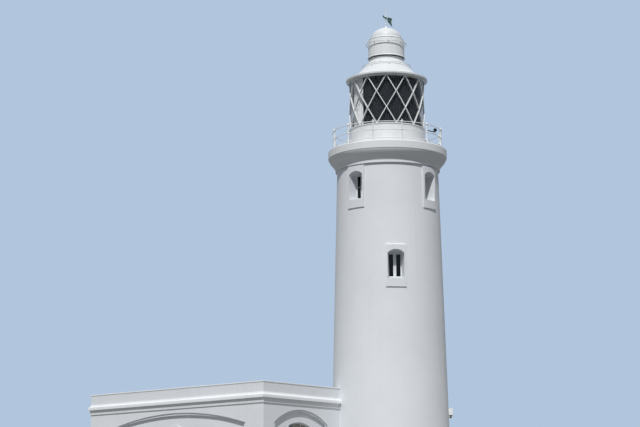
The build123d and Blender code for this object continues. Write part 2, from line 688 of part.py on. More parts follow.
# Rings under and over the glazing
HEAD_RING_LOW = EAVE_LOW - HEAD_RING_HEIGHT
BLIND_INNER = LATTICE_RADIUS - BAR_DEPTH - BLIND_CLEARANCE - BLIND_THICKNESS
with BuildPart() as lantern_sill:
    with BuildSketch(Plane.XY.offset(LANTERN_WALL_TOP)):
        Circle(LANTERN_WALL_RADIUS + LANTERN_SILL_PROJECTION)
        Circle(BLIND_INNER - RING_MARGIN, mode=Mode.SUBTRACT)
    extrude(amount=LANTERN_SILL_THICKNESS)
lantern_sill.part.label = "lantern_sill"
export_step(lantern_sill.part, "parts/lantern_sill.step")

with BuildPart() as lantern_head_ring:
    with BuildSketch(Plane.XY.offset(HEAD_RING_LOW)):
        Circle(LATTICE_RADIUS + HEAD_RING_PROJECTION)
        Circle(BLIND_INNER - RING_MARGIN, mode=Mode.SUBTRACT)
    extrude(amount=HEAD_RING_HEIGHT)
lantern_head_ring.part.label = "lantern_head_ring"
export_step(lantern_head_ring.part, "parts/lantern_head_ring.step")


def crossing(azimuth, row):
    """The place of one crossing of the lattice, rows counted down from the top."""
    turn = radians(azimuth - 90)
    level = LATTICE_LOW + (LATTICE_ROWS - row) * LATTICE_STEP
    return Vector(LATTICE_RADIUS * cos(turn), LATTICE_RADIUS * sin(turn), level)


def lattice_bar_planes():
    """One plane for each straight bar between crossings: X along the bar, Z out of the lantern."""
    half_bay = 180.0 / LATTICE_BAYS
    planes = []
    for row in range(LATTICE_ROWS):
        for bay in range(LATTICE_BAYS):
            azimuth = LATTICE_TURN + half_bay * (2 * bay + row % 2)
            upper = crossing(azimuth, row)
            for hand in (-1, 1):
                lower = crossing(azimuth + hand * half_bay, row + 1)
                outward = Vector(upper.X + lower.X, upper.Y + lower.Y, 0)
                planes.append(Plane(origin=(upper + lower) / 2, x_dir=lower - upper, z_dir=outward))
    return planes


# Diagonal glazing bars, fused where they cross, and a pane in each opening between them
BAR_LENGTH = (crossing(0, 0) - crossing(180.0 / LATTICE_BAYS, 1)).length
with BuildPart() as all_bars:
    with Locations(*[Location(plane) for plane in lattice_bar_planes()]):
        Box(BAR_LENGTH + BAR_LAP, BAR_WIDTH, BAR_DEPTH)

with BuildPart() as glazing_lattice:
    add(all_bars.part)
    with Locations((0, 0, LATTICE_LOW)):
        Cylinder(FAR, FAR, align=(Align.CENTER, Align.CENTER, Align.MAX), mode=Mode.SUBTRACT)
    with Locations((0, 0, EAVE_LOW)):
        Cylinder(FAR, FAR, align=(Align.CENTER, Align.CENTER, Align.MIN), mode=Mode.SUBTRACT)
    add(lantern_head_ring.part, mode=Mode.SUBTRACT)
glazing_lattice.part.label = "glazing_lattice"
export_step(glazing_lattice.part, "parts/glazing_lattice.step")

GLASS_RADIUS = LATTICE_RADIUS * cos(radians(90.0 / LATTICE_BAYS))
with BuildPart() as lantern_panes:
    with BuildSketch(Plane.XY.offset(LATTICE_LOW)):
        Circle(GLASS_RADIUS + GLASS_THICKNESS / 2)
        Circle(GLASS_RADIUS - GLASS_THICKNESS / 2, mode=Mode.SUBTRACT)
    extrude(amount=HEAD_RING_LOW - LATTICE_LOW)
    add(all_bars.part, mode=Mode.SUBTRACT)
lantern_panes.part.label = "lantern_panes"
export_step(lantern_panes.part, "parts/lantern_panes.step")

# Blinds inside the glazing
blind = (BLIND_INNER, BLIND_INNER + BLIND_THICKNESS, LATTICE_LOW, HEAD_RING_LOW)
with BuildPart() as white_blind:
    middle_azimuth = (WHITE_BLIND_START_AZIMUTH + WHITE_BLIND_END_AZIMUTH) / 2
    ring_sectors([middle_azimuth], *blind, WHITE_BLIND_END_AZIMUTH - WHITE_BLIND_START_AZIMUTH)
white_blind.part.label = "white_blind"
export_step(white_blind.part, "parts/white_blind.step")

with BuildPart() as dark_blind:
    ring_sectors([middle_azimuth + 180], *blind, FULL_TURN - WHITE_BLIND_END_AZIMUTH + WHITE_BLIND_START_AZIMUTH)
dark_blind.part.label = "dark_blind"
export_step(dark_blind.part, "parts/dark_blind.step")

# Small side lamp on an arm from one stanchion
with BuildPart() as side_lamp:
    with BuildSketch(Plane.XZ):
        with BuildLine():
            Polyline(
                (0, 0),
                (SIDE_LAMP_ARM, 0),
                (SIDE_LAMP_ARM, SIDE_LAMP_STEM),
                (SIDE_LAMP_RADIUS, SIDE_LAMP_STEM),
                (SIDE_LAMP_RADIUS, SIDE_LAMP_STEM + SIDE_LAMP_HEIGHT),
                (0, SIDE_LAMP_STEM + SIDE_LAMP_HEIGHT + SIDE_LAMP_CAP),
                close=True,
            )
        make_face()
    revolve(axis=Axis.Z)
    Sphere(SIDE_LAMP_ARM)
    with Locations((0, SIDE_LAMP_REACH / 2, 0)):
        Cylinder(SIDE_LAMP_ARM, SIDE_LAMP_REACH, rotation=(90, 0, 0))
SIDE_LAMP_AZIMUTH = STANCHION_TURN + SIDE_LAMP_STANCHION * FULL_TURN / STANCHIONS
side_lamp_place = Pos(SIDE_LAMP_REACH, -RAILING_RADIUS, DECK_LEVEL + SIDE_LAMP_LEVEL)
side_lamp_place = turned(SIDE_LAMP_AZIMUTH) * side_lamp_place * Rot(0, 0, FULL_TURN / 4)
side_lamp.part = side_lamp_place * side_lamp.part - railing_stanchions.part
side_lamp.part.label = "side_lamp"
export_step(side_lamp.part, "parts/side_lamp.step")

# Soffit under the eave, then the roof: a flared sheet cone with a rounded edge
with BuildPart() as lantern_soffit:
    with BuildSketch(Plane.XY.offset(EAVE_LOW)):
        Circle(EAVE_RADIUS - ROOF_SHEET)
        Circle(BLIND_INNER - RING_MARGIN, mode=Mode.SUBTRACT)
    extrude(amount=ROOF_SHEET)
lantern_soffit.part.label = "lantern_soffit"
export_step(lantern_soffit.part, "parts/lantern_soffit.step")

with BuildPart() as lantern_roof:
    with BuildSketch(Plane.XZ):
        with BuildLine():
            Polyline(
                (NECK_RADIUS, NECK_FOOT),
                (FLARE_RADIUS, FLARE_LEVEL),
                (SHOULDER_RADIUS, SHOULDER_LEVEL),
            )
            ThreePointArc(
                (SHOULDER_RADIUS, SHOULDER_LEVEL),
                (
                    SHOULDER_RADIUS + NOSE_BULGE * (EAVE_RADIUS - SHOULDER_RADIUS),
                    EAVE_TOP + NOSE_BULGE * (SHOULDER_LEVEL - EAVE_TOP),
                ),
                (EAVE_RADIUS, EAVE_TOP),
            )
            Polyline(
                (EAVE_RADIUS, EAVE_TOP),
                (EAVE_RADIUS, EAVE_LOW),
                (EAVE_RADIUS - ROOF_SHEET, EAVE_LOW),
                (EAVE_RADIUS - ROOF_SHEET, EAVE_TOP - ROOF_SHEET),
                (SHOULDER_RADIUS, SHOULDER_LEVEL - ROOF_SHEET),
                (FLARE_RADIUS, FLARE_LEVEL - ROOF_SHEET),
                (NECK_RADIUS - COWL_SHEET, NECK_FOOT - ROOF_SHEET),
                (NECK_RADIUS - COWL_SHEET, NECK_FOOT),
                (NECK_RADIUS, NECK_FOOT),
            )
        make_face()
    revolve(axis=Axis.Z)
lantern_roof.part.label = "lantern_roof"
export_step(lantern_roof.part, "parts/lantern_roof.step")

# Ventilator: neck, drum and dome
SHOULDER_UNDER = DRUM_TOP - COWL_SHEET
with BuildPart() as ventilator_neck:
    with BuildSketch(Plane.XY.offset(NECK_FOOT)):
        Circle(NECK_RADIUS)
        Circle(NECK_RADIUS - COWL_SHEET, mode=Mode.SUBTRACT)
    extrude(amount=SHOULDER_UNDER - NECK_FOOT)
    with BuildSketch(Plane.XY.offset(NECK_BEAD_LEVEL)):
        Circle(NECK_RADIUS + NECK_BEAD)
        Circle(NECK_RADIUS - COWL_SHEET, mode=Mode.SUBTRACT)
    extrude(amount=NECK_BEAD)
ventilator_neck.part.label = "ventilator_neck"
export_step(ventilator_neck.part, "parts/ventilator_neck.step")

with BuildPart() as ventilator_drum:
    with BuildSketch(Plane.XZ):
        with BuildLine():
            Polyline(
                (DRUM_RADIUS, DRUM_TOP),
                (DRUM_RADIUS, DRUM_LOW + DRUM_LIP),
                (DRUM_RADIUS + DRUM_LIP, DRUM_LOW),
                (DRUM_RADIUS - COWL_SHEET, DRUM_LOW),
                (DRUM_RADIUS - COWL_SHEET, SHOULDER_UNDER),
                (DOME_RADIUS - COWL_SHEET, SHOULDER_UNDER),
                (DOME_RADIUS - COWL_SHEET, DOME_FOOT),
                (DOME_RADIUS + DOME_STEP, DOME_FOOT),
                close=True,
            )
        make_face()
    revolve(axis=Axis.Z)
ventilator_drum.part.label = "ventilator_drum"
export_step(ventilator_drum.part, "parts/ventilator_drum.step")


# The dome is two arcs in profile, a flank and a crown whose centre is on the tower's axis
CROWN_RADIUS = (DOME_RADIUS**2 - 2 * DOME_RADIUS * DOME_FLANK_RADIUS + DOME_HEIGHT**2) / (
    2 * (DOME_HEIGHT - DOME_FLANK_RADIUS)
)
CROWN_LEVEL = DOME_TOP - CROWN_RADIUS
FLANK_SETIN = DOME_RADIUS - DOME_FLANK_RADIUS


def dome_solid(inset):
    """A solid dome on the dome's foot, inside the outer surface by the inset."""
    share = (CROWN_RADIUS - inset) / hypot(FLANK_SETIN, DOME_FOOT - CROWN_LEVEL)
    haunch = (share * FLANK_SETIN, CROWN_LEVEL + share * (DOME_FOOT - CROWN_LEVEL))
    top = (0, DOME_TOP - inset)
    side = (DOME_RADIUS - inset, DOME_FOOT)
    with BuildPart() as dome:
        with BuildSketch(Plane.XZ):
            with BuildLine():
                TangentArc(side, haunch, tangent=(0, 1))
                TangentArc(top, haunch, tangent=(1, 0))
                Polyline(top, (0, DOME_FOOT), side)
            make_face()
        revolve(axis=Axis.Z)
    return dome.part


with BuildPart() as ventilator_dome:
    add(dome_solid(0))
    add(dome_solid(COWL_SHEET), mode=Mode.SUBTRACT)
ventilator_dome.part.label = "ventilator_dome"
export_step(ventilator_dome.part, "parts/ventilator_dome.step")

# Painters' ring rails, each on its brackets
ROOF_AT_RAIL = NECK_FOOT - CONE_HEIGHT * ROOF_RAIL_SETOUT / (FLARE_RADIUS - NECK_RADIUS)
ROOF_RAIL_LEVEL = ROOF_AT_RAIL + ROOF_RAIL_HEIGHT
DRUM_RAIL_LEVEL = DRUM_TOP - DRUM_RAIL_DROP
with BuildPart() as roof_ring_rail:
    with Locations((0, 0, ROOF_RAIL_LEVEL)):
        Torus(ROOF_RAIL_RADIUS, RING_RAIL_TUBE)
        with PolarLocations(ROOF_RAIL_RADIUS, RAIL_BRACKETS):
            Cylinder(
                BRACKET_RADIUS,
                ROOF_RAIL_HEIGHT + ROOF_SHEET / 2,
                align=(Align.CENTER, Align.CENTER, Align.MAX),
            )
    add(lantern_roof.part, mode=Mode.SUBTRACT)
roof_ring_rail.part.label = "roof_ring_rail"
export_step(roof_ring_rail.part, "parts/roof_ring_rail.step")

with BuildPart() as drum_ring_rail:
    with Locations((0, 0, DRUM_RAIL_LEVEL)):
        Torus(DRUM_RAIL_RADIUS, RING_RAIL_TUBE)
        with PolarLocations((DRUM_RADIUS + DRUM_RAIL_RADIUS) / 2, RAIL_BRACKETS):
            Cylinder(
                BRACKET_RADIUS,
                DRUM_RAIL_STANDOFF + COWL_SHEET,
                rotation=(0, 90, 0),
            )
        Cylinder(DRUM_RADIUS, 4 * RING_RAIL_TUBE, mode=Mode.SUBTRACT)
drum_ring_rail.part.label = "drum_ring_rail"
export_step(drum_ring_rail.part, "parts/drum_ring_rail.step")

# Finial: a turned spindle on the dome, which carries the vane on its collar
HUB_LOW = VANE_LEVEL - VANE_HUB_HEIGHT / 2
COLLAR_TOP = HUB_LOW - VANE_GAP
FINIAL_SEAT = CROWN_LEVEL + (CROWN_RADIUS**2 - FINIAL_FOOT**2) ** 0.5
with BuildPart() as finial:
    with BuildSketch(Plane.XZ):
        with BuildLine():
            TangentArc((0, DOME_TOP), (FINIAL_FOOT, FINIAL_SEAT), tangent=(1, 0))
            Polyline(
                (FINIAL_FOOT, FINIAL_SEAT),
                (FINIAL_ROD, DOME_TOP + FINIAL_FOOT),
                (FINIAL_ROD, COLLAR_TOP - COLLAR_HEIGHT),
                (FINIAL_COLLAR, COLLAR_TOP - COLLAR_HEIGHT / 2),
                (FINIAL_COLLAR, COLLAR_TOP),
                (FINIAL_ROD, COLLAR_TOP),
                (FINIAL_ROD, HUB_LOW + VANE_HUB_HEIGHT + 2 * VANE_GAP),
                (FINIAL_COLLAR, HUB_LOW + VANE_HUB_HEIGHT + 2 * VANE_GAP),
                (FINIAL_ROD, HUB_LOW + VANE_HUB_HEIGHT + COLLAR_HEIGHT),
                (FINIAL_POINT, FINIAL_TIP),
                (0, FINIAL_TIP),
                (0, DOME_TOP),
            )
        make_face()
    revolve(axis=Axis.Z)
    with BuildSketch(Plane.XZ):
        for height in FINIAL_BEAD_HEIGHTS:
            with Locations((0, DOME_TOP + height)):
                Circle(FINIAL_BEAD_RADIUS)
        with Locations((-FAR / 2, 0)):
            Rectangle(FAR, 4 * FAR, mode=Mode.SUBTRACT)
    revolve(axis=Axis.Z)
finial.part.label = "finial"
export_step(finial.part, "parts/finial.step")

with BuildPart() as wind_vane:
    with Locations((0, 0, VANE_LEVEL)):
        Cylinder(VANE_HUB, VANE_HUB_HEIGHT)
    with BuildSketch(Plane.YZ.offset(-VANE_PLATE / 2)):
        with BuildLine():
            Polyline(
                (VANE_TAIL_ROOT, VANE_LEVEL - VANE_TAIL_ROOT_HALF),
                (VANE_TAIL, VANE_LEVEL - VANE_TAIL_HALF),
                (VANE_TAIL - VANE_TAIL_NOTCH, VANE_LEVEL),
                (VANE_TAIL, VANE_LEVEL + VANE_TAIL_HALF),
                (VANE_TAIL_ROOT, VANE_LEVEL + VANE_TAIL_ROOT_HALF),
                close=True,
            )
        make_face()
        with BuildLine():
            Polyline(
                (-VANE_POINTER, VANE_LEVEL),
                (-VANE_POINTER + VANE_HEAD_LENGTH, VANE_LEVEL - VANE_HEAD_HALF),
                (-VANE_POINTER + VANE_HEAD_LENGTH, VANE_LEVEL + VANE_HEAD_HALF),
                close=True,
            )
        make_face()
    extrude(amount=VANE_PLATE)
    with Locations((0, (VANE_TAIL_ROOT + VANE_ARM_LAP - VANE_POINTER + VANE_HEAD_LENGTH) / 2, VANE_LEVEL)):
        Cylinder(
            VANE_ARM,
            VANE_TAIL_ROOT + VANE_ARM_LAP + VANE_POINTER - VANE_HEAD_LENGTH,
            rotation=(90, 0, 0),
        )
    with Locations((0, 0, VANE_LEVEL)):
        Cylinder(FINIAL_ROD + VANE_BORE_CLEARANCE, 2 * VANE_HUB_HEIGHT, mode=Mode.SUBTRACT)
wind_vane.part = turned(VANE_AZIMUTH) * wind_vane.part
wind_vane.part.label = "wind_vane"
export_step(wind_vane.part, "parts/wind_vane.step")

# Low building: each face is drawn from outside, X to the right and Y up
SOUTH_FACE = Plane(origin=(0, ANNEX_SOUTH, 0), x_dir=(1, 0, 0), z_dir=(0, -1, 0))
EAST_FACE = Plane(origin=(ANNEX_EAST, 0, 0), x_dir=(0, 1, 0), z_dir=(1, 0, 0))
NORTH_FACE = Plane(origin=(0, ANNEX_NORTH, 0), x_dir=(-1, 0, 0), z_dir=(0, 1, 0))
WEST_FACE = Plane(origin=(ANNEX_WEST, 0, 0), x_dir=(0, -1, 0), z_dir=(-1, 0, 0))
WALL_TOP = PARAPET_TOP - COPING_THICKNESS
RECESS_DEPTH = 2 * RECESS_STEP
ANNEX_CENTRE = (ANNEX_EAST + ANNEX_WEST) / 2
NORTH_ARCH_CENTRE = -(ANNEX_WEST - shaft_radius(ARCH_SPRING)) / 2
WEST_ARCH_CENTRE = -(ANNEX_SOUTH + ANNEX_NORTH) / 2
ANNEX_DOOR_SPRING = ANNEX_DOOR_CROWN - ANNEX_DOOR_WIDTH / 2
ANNEX_WINDOW_SPRING = ANNEX_WINDOW_CROWN - ANNEX_WINDOW_RISE


def annex_wall(face, start, end, centre, arch_width, opening):
    """A wall of the low building with its stepped blind arch and one opening through it."""
    with BuildPart() as wall:
        with BuildSketch(face):
            with Locations(((start + end) / 2, 0)):
                Rectangle(end - start, WALL_TOP, align=(Align.CENTER, Align.MIN))
        extrude(amount=-ANNEX_WALL)
        for step in (1, 2):
            inset = RECESS_INSET * (step - 1)
            with BuildSketch(face):
                with Locations((centre, 0)):
                    add(
                        filled(
                            arch_outline(
                                arch_width - 2 * inset,
                                PLINTH_HEIGHT,
                                ARCH_SPRING,
                                ARCH_CROWN - inset,
                            )
                        )
                    )
            extrude(amount=-RECESS_STEP * step, mode=Mode.SUBTRACT)
        with BuildSketch(face):
            with Locations((centre, 0)):
                add(filled(opening))
        extrude(amount=-2 * ANNEX_WALL, mode=Mode.SUBTRACT)
        add(shaft_solid.part, mode=Mode.SUBTRACT)
    return wall.part


def filled(outline):
    """The flat face inside a closed outline."""
    return make_face(outline.edges(), mode=Mode.PRIVATE)


def upright_strip(face, centre, width):
    """The strip of a wall between the two sides of an opening."""
    with BuildPart() as strip:
        with BuildSketch(face):
            with Locations((centre, 0)):
                Rectangle(width, 2 * PARAPET_TOP)
        extrude(amount=FAR / 2, both=True)
    return strip.part


window_opening = arch_outline(
    ANNEX_WINDOW_WIDTH, ANNEX_WINDOW_SILL, ANNEX_WINDOW_SPRING, ANNEX_WINDOW_CROWN
)
door_opening = arch_outline(ANNEX_DOOR_WIDTH, 0, ANNEX_DOOR_SPRING, ANNEX_DOOR_CROWN)
INNER_SOUTH = ANNEX_SOUTH + ANNEX_WALL
INNER_NORTH = ANNEX_NORTH - ANNEX_WALL

south_masonry = annex_wall(
    SOUTH_FACE, ANNEX_WEST, ANNEX_EAST, ANNEX_CENTRE, LONG_ARCH_WIDTH, door_opening
)
east_masonry = annex_wall(
    EAST_FACE, INNER_SOUTH, ANNEX_NORTH, EAST_ARCH_CENTRE, SHORT_ARCH_WIDTH, window_opening
)
north_masonry = annex_wall(
    NORTH_FACE, 0, -ANNEX_WEST, NORTH_ARCH_CENTRE, SHORT_ARCH_WIDTH, window_opening
)
west_masonry = annex_wall(
    WEST_FACE, -INNER_NORTH, -INNER_SOUTH, WEST_ARCH_CENTRE, SHORT_ARCH_WIDTH, window_opening
)
south_strip = upright_strip(SOUTH_FACE, ANNEX_CENTRE, ANNEX_DOOR_WIDTH)
east_strip = upright_strip(EAST_FACE, EAST_ARCH_CENTRE, ANNEX_WINDOW_WIDTH)
north_strip = upright_strip(NORTH_FACE, NORTH_ARCH_CENTRE, ANNEX_WINDOW_WIDTH)
west_strip = upright_strip(WEST_FACE, WEST_ARCH_CENTRE, ANNEX_WINDOW_WIDTH)

with BuildPart() as south_wall:
    add(south_masonry)
    add(south_strip, mode=Mode.SUBTRACT)
south_wall.part.label = "south_wall"
export_step(south_wall.part, "parts/south_wall.step")

with BuildPart() as south_wall_head:
    add(south_masonry)
    add(south_strip, mode=Mode.INTERSECT)
south_wall_head.part.label = "south_wall_head"
export_step(south_wall_head.part, "parts/south_wall_head.step")

with BuildPart() as east_wall:
    add(east_masonry)
    add(east_strip, mode=Mode.SUBTRACT)
east_wall.part.label = "east_wall"
export_step(east_wall.part, "parts/east_wall.step")

with BuildPart() as east_wall_spandrels:
    add(east_masonry)
    add(east_strip, mode=Mode.INTERSECT)
east_wall_spandrels.part.label = "east_wall_spandrels"
export_step(east_wall_spandrels.part, "parts/east_wall_spandrels.step")

with BuildPart() as north_wall:
    add(north_masonry)
    add(north_strip, mode=Mode.SUBTRACT)
north_wall.part.label = "north_wall"
export_step(north_wall.part, "parts/north_wall.step")

with BuildPart() as north_wall_spandrels:
    add(north_masonry)
    add(north_strip, mode=Mode.INTERSECT)
north_wall_spandrels.part.label = "north_wall_spandrels"
export_step(north_wall_spandrels.part, "parts/north_wall_spandrels.step")

with BuildPart() as west_wall:
    add(west_masonry)
    add(west_strip, mode=Mode.SUBTRACT)
west_wall.part.label = "west_wall"
export_step(west_wall.part, "parts/west_wall.step")

with BuildPart() as west_wall_spandrels:
    add(west_masonry)
    add(west_strip, mode=Mode.INTERSECT)
west_wall_spandrels.part.label = "west_wall_spandrels"
export_step(west_wall_spandrels.part, "parts/west_wall_spandrels.step")


def annex_rectangle(margin):
    """The low building's plan, grown by a margin beyond its outer faces."""
    with Locations((ANNEX_CENTRE, (ANNEX_SOUTH + ANNEX_NORTH) / 2)):
        return Rectangle(
            ANNEX_EAST - ANNEX_WEST + 2 * margin,
            ANNEX_NORTH - ANNEX_SOUTH + 2 * margin,
            mode=Mode.PRIVATE,
        )


with BuildPart() as annex_floor:
    with BuildSketch():
        add(annex_rectangle(-ANNEX_WALL))
    extrude(amount=GROUND_SLAB)
    add(shaft_solid.part, mode=Mode.SUBTRACT)
annex_floor.part.label = "annex_floor"
export_step(annex_floor.part, "parts/annex_floor.step")

with BuildPart() as annex_roof:
    with BuildSketch(Plane.XY.offset(ANNEX_ROOF_TOP - ANNEX_ROOF_THICKNESS)):
        add(annex_rectangle(-ANNEX_WALL))
    extrude(amount=ANNEX_ROOF_THICKNESS)
    add(shaft_solid.part, mode=Mode.SUBTRACT)
annex_roof.part.label = "annex_roof"
export_step(annex_roof.part, "parts/annex_roof.step")

with BuildPart() as annex_cornice:
    with BuildSketch(Plane.XY.offset(CORNICE_LOW)):
        add(annex_rectangle(BAND_PROJECTION))
    extrude(amount=CORNICE_FASCIA_LOW - CORNICE_LOW)
    with BuildSketch(Plane.XY.offset(CORNICE_FASCIA_LOW)):
        add(annex_rectangle(FASCIA_PROJECTION))
    extrude(amount=CORNICE_CREST - CORNICE_FASCIA_LOW)
    with BuildSketch(Plane.XY.offset(CORNICE_CREST)):
        add(annex_rectangle(FASCIA_PROJECTION))
    with BuildSketch(Plane.XY.offset(CORNICE_CREST + CORNICE_WEATHERING)):
        add(annex_rectangle(WEATHERING_EDGE))
    loft()
    with BuildSketch(Plane.XY.offset(CORNICE_LOW)):
        add(annex_rectangle(0))
    extrude(amount=PARAPET_TOP - CORNICE_LOW, mode=Mode.SUBTRACT)
    add(shaft_solid.part, mode=Mode.SUBTRACT)
annex_cornice.part.label = "annex_cornice"
export_step(annex_cornice.part, "parts/annex_cornice.step")

with BuildPart() as annex_coping:
    with BuildSketch(Plane.XY.offset(WALL_TOP)):
        add(annex_rectangle(COPING_PROJECTION))
        add(annex_rectangle(-ANNEX_WALL - COPING_PROJECTION), mode=Mode.SUBTRACT)
    extrude(amount=COPING_THICKNESS)
    add(shaft_solid.part, mode=Mode.SUBTRACT)
annex_coping.part.label = "annex_coping"
export_step(annex_coping.part, "parts/annex_coping.step")

# The low building's door and its hood
with BuildPart() as annex_door:
    with BuildSketch(SOUTH_FACE.offset(-RECESS_DEPTH - ANNEX_LEAF_REVEAL)):
        with Locations((ANNEX_CENTRE, 0)):
            add(filled(door_opening))
    extrude(amount=-ANNEX_LEAF)
annex_door.part.label = "annex_door"
export_step(annex_door.part, "parts/annex_door.step")

with BuildPart() as annex_door_hood:
    with BuildSketch(SOUTH_FACE.offset(-RECESS_DEPTH)):
        with Locations((ANNEX_CENTRE, ANNEX_DOOR_SPRING)):
            Circle(ANNEX_DOOR_WIDTH / 2 + ANNEX_HOOD_WIDTH)
            Circle(ANNEX_DOOR_WIDTH / 2, mode=Mode.SUBTRACT)
            Rectangle(
                2 * ANNEX_DOOR_WIDTH,
                ANNEX_DOOR_WIDTH,
                align=(Align.CENTER, Align.MAX),
                mode=Mode.SUBTRACT,
            )
    extrude(amount=ANNEX_HOOD_PROJECTION)
annex_door_hood.part.label = "annex_door_hood"
export_step(annex_door_hood.part, "parts/annex_door_hood.step")

# The low building's windows: an arched fanlight over two casements
fanlight = arch_outline(
    ANNEX_WINDOW_WIDTH - 2 * FRAME_BAR,
    ANNEX_TRANSOM,
    ANNEX_WINDOW_SPRING - FRAME_BAR / 2,
    ANNEX_WINDOW_CROWN - FRAME_BAR,
)
CASEMENT_WIDTH = (ANNEX_WINDOW_WIDTH - 3 * FRAME_BAR) / 2
CASEMENT_HEIGHT = ANNEX_TRANSOM - ANNEX_WINDOW_SILL - 2 * FRAME_BAR
window_faces = (
    (EAST_FACE, EAST_ARCH_CENTRE),
    (NORTH_FACE, NORTH_ARCH_CENTRE),
    (WEST_FACE, WEST_ARCH_CENTRE),
)


def annex_lights(centre):
    """The glazed openings of one of the low building's windows, as a sketch."""
    with BuildSketch() as lights:
        with Locations((centre, 0)):
            add(filled(fanlight))
        for side in (-1, 1):
            middle = centre + side * (CASEMENT_WIDTH + FRAME_BAR) / 2
            with Locations((middle, ANNEX_WINDOW_SILL + FRAME_BAR)):
                Rectangle(CASEMENT_WIDTH, CASEMENT_HEIGHT, align=(Align.CENTER, Align.MIN))
    return lights.sketch


with BuildPart() as annex_window_frames:
    for face, centre in window_faces:
        with BuildSketch(face.offset(-ANNEX_WINDOW_REVEAL)):
            with Locations((centre, 0)):
                add(filled(window_opening))
            add(annex_lights(centre), mode=Mode.SUBTRACT)
        extrude(amount=-FRAME_DEPTH)
annex_window_frames.part.label = "annex_window_frames"
export_step(annex_window_frames.part, "parts/annex_window_frames.step")

with BuildPart() as annex_window_panes:
    for face, centre in window_faces:
        with BuildSketch(face.offset(-ANNEX_WINDOW_REVEAL - (FRAME_DEPTH - PANE_THICKNESS) / 2)):
            add(annex_lights(centre))
        extrude(amount=-PANE_THICKNESS)
annex_window_panes.part.label = "annex_window_panes"
export_step(annex_window_panes.part, "parts/annex_window_panes.step")
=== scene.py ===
from math import cos, degrees, pi, radians, sin, sqrt

import bmesh
import bpy
from mathutils import Matrix, Vector, noise


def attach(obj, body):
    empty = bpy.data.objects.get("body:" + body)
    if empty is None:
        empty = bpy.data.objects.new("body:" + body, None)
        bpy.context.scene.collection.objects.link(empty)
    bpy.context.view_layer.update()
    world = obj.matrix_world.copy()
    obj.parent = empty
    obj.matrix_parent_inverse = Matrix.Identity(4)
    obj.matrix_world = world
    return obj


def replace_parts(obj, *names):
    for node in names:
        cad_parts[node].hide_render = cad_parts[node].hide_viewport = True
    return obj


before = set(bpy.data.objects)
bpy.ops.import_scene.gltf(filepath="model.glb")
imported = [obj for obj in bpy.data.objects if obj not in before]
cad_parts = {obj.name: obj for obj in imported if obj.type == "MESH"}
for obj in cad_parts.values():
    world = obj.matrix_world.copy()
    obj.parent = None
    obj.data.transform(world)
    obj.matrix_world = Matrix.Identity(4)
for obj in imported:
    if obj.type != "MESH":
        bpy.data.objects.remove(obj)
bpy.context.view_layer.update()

HOUSE = "lighthouse"
VANE = "vane"

# Metres, Z up. An azimuth is counted from -Y towards +X, as in the part's source.
AXIS = Matrix.Identity(4)  # the tower's axis, at the ground
GROUND_RADIUS = 3.362  # the shaft's outside at the ground
BATTER = 0.0265  # what the shaft's radius loses in a metre
DECK = 18.55
WINDOW_TURN = 0.8

RAILING_RADIUS = 3.144
STANCHIONS = 12
STANCHION_TURN = 23.7
RAIL_RADIUS = 0.022
RAILS = ((1.105, 0.075), (0.640, 0.062), (0.165, 0.042))  # height over the deck, and the balls' radius

LANTERN_WALL_RADIUS = 2.180
LATTICE_RADIUS = 2.14
LATTICE_BAYS = 12
LATTICE_TURN = 7.7
LATTICE_LOW = 19.81
LATTICE_STEP = 0.938
GLAZING_TOP = 22.60
EAVE_RADIUS = 2.355
NECK_RADIUS = 0.985
DRUM_RADIUS = 1.050

ANNEX_EAST = -1.163
ANNEX_WEST = -14.5
ANNEX_SOUTH = -9.357
ANNEX_MIDDLE = (ANNEX_EAST + ANNEX_WEST) / 2
ANNEX_ARCH_SPRING = 2.67
ANNEX_ARCH_CROWN = 3.43
ANNEX_PLINTH_TOP = 0.30


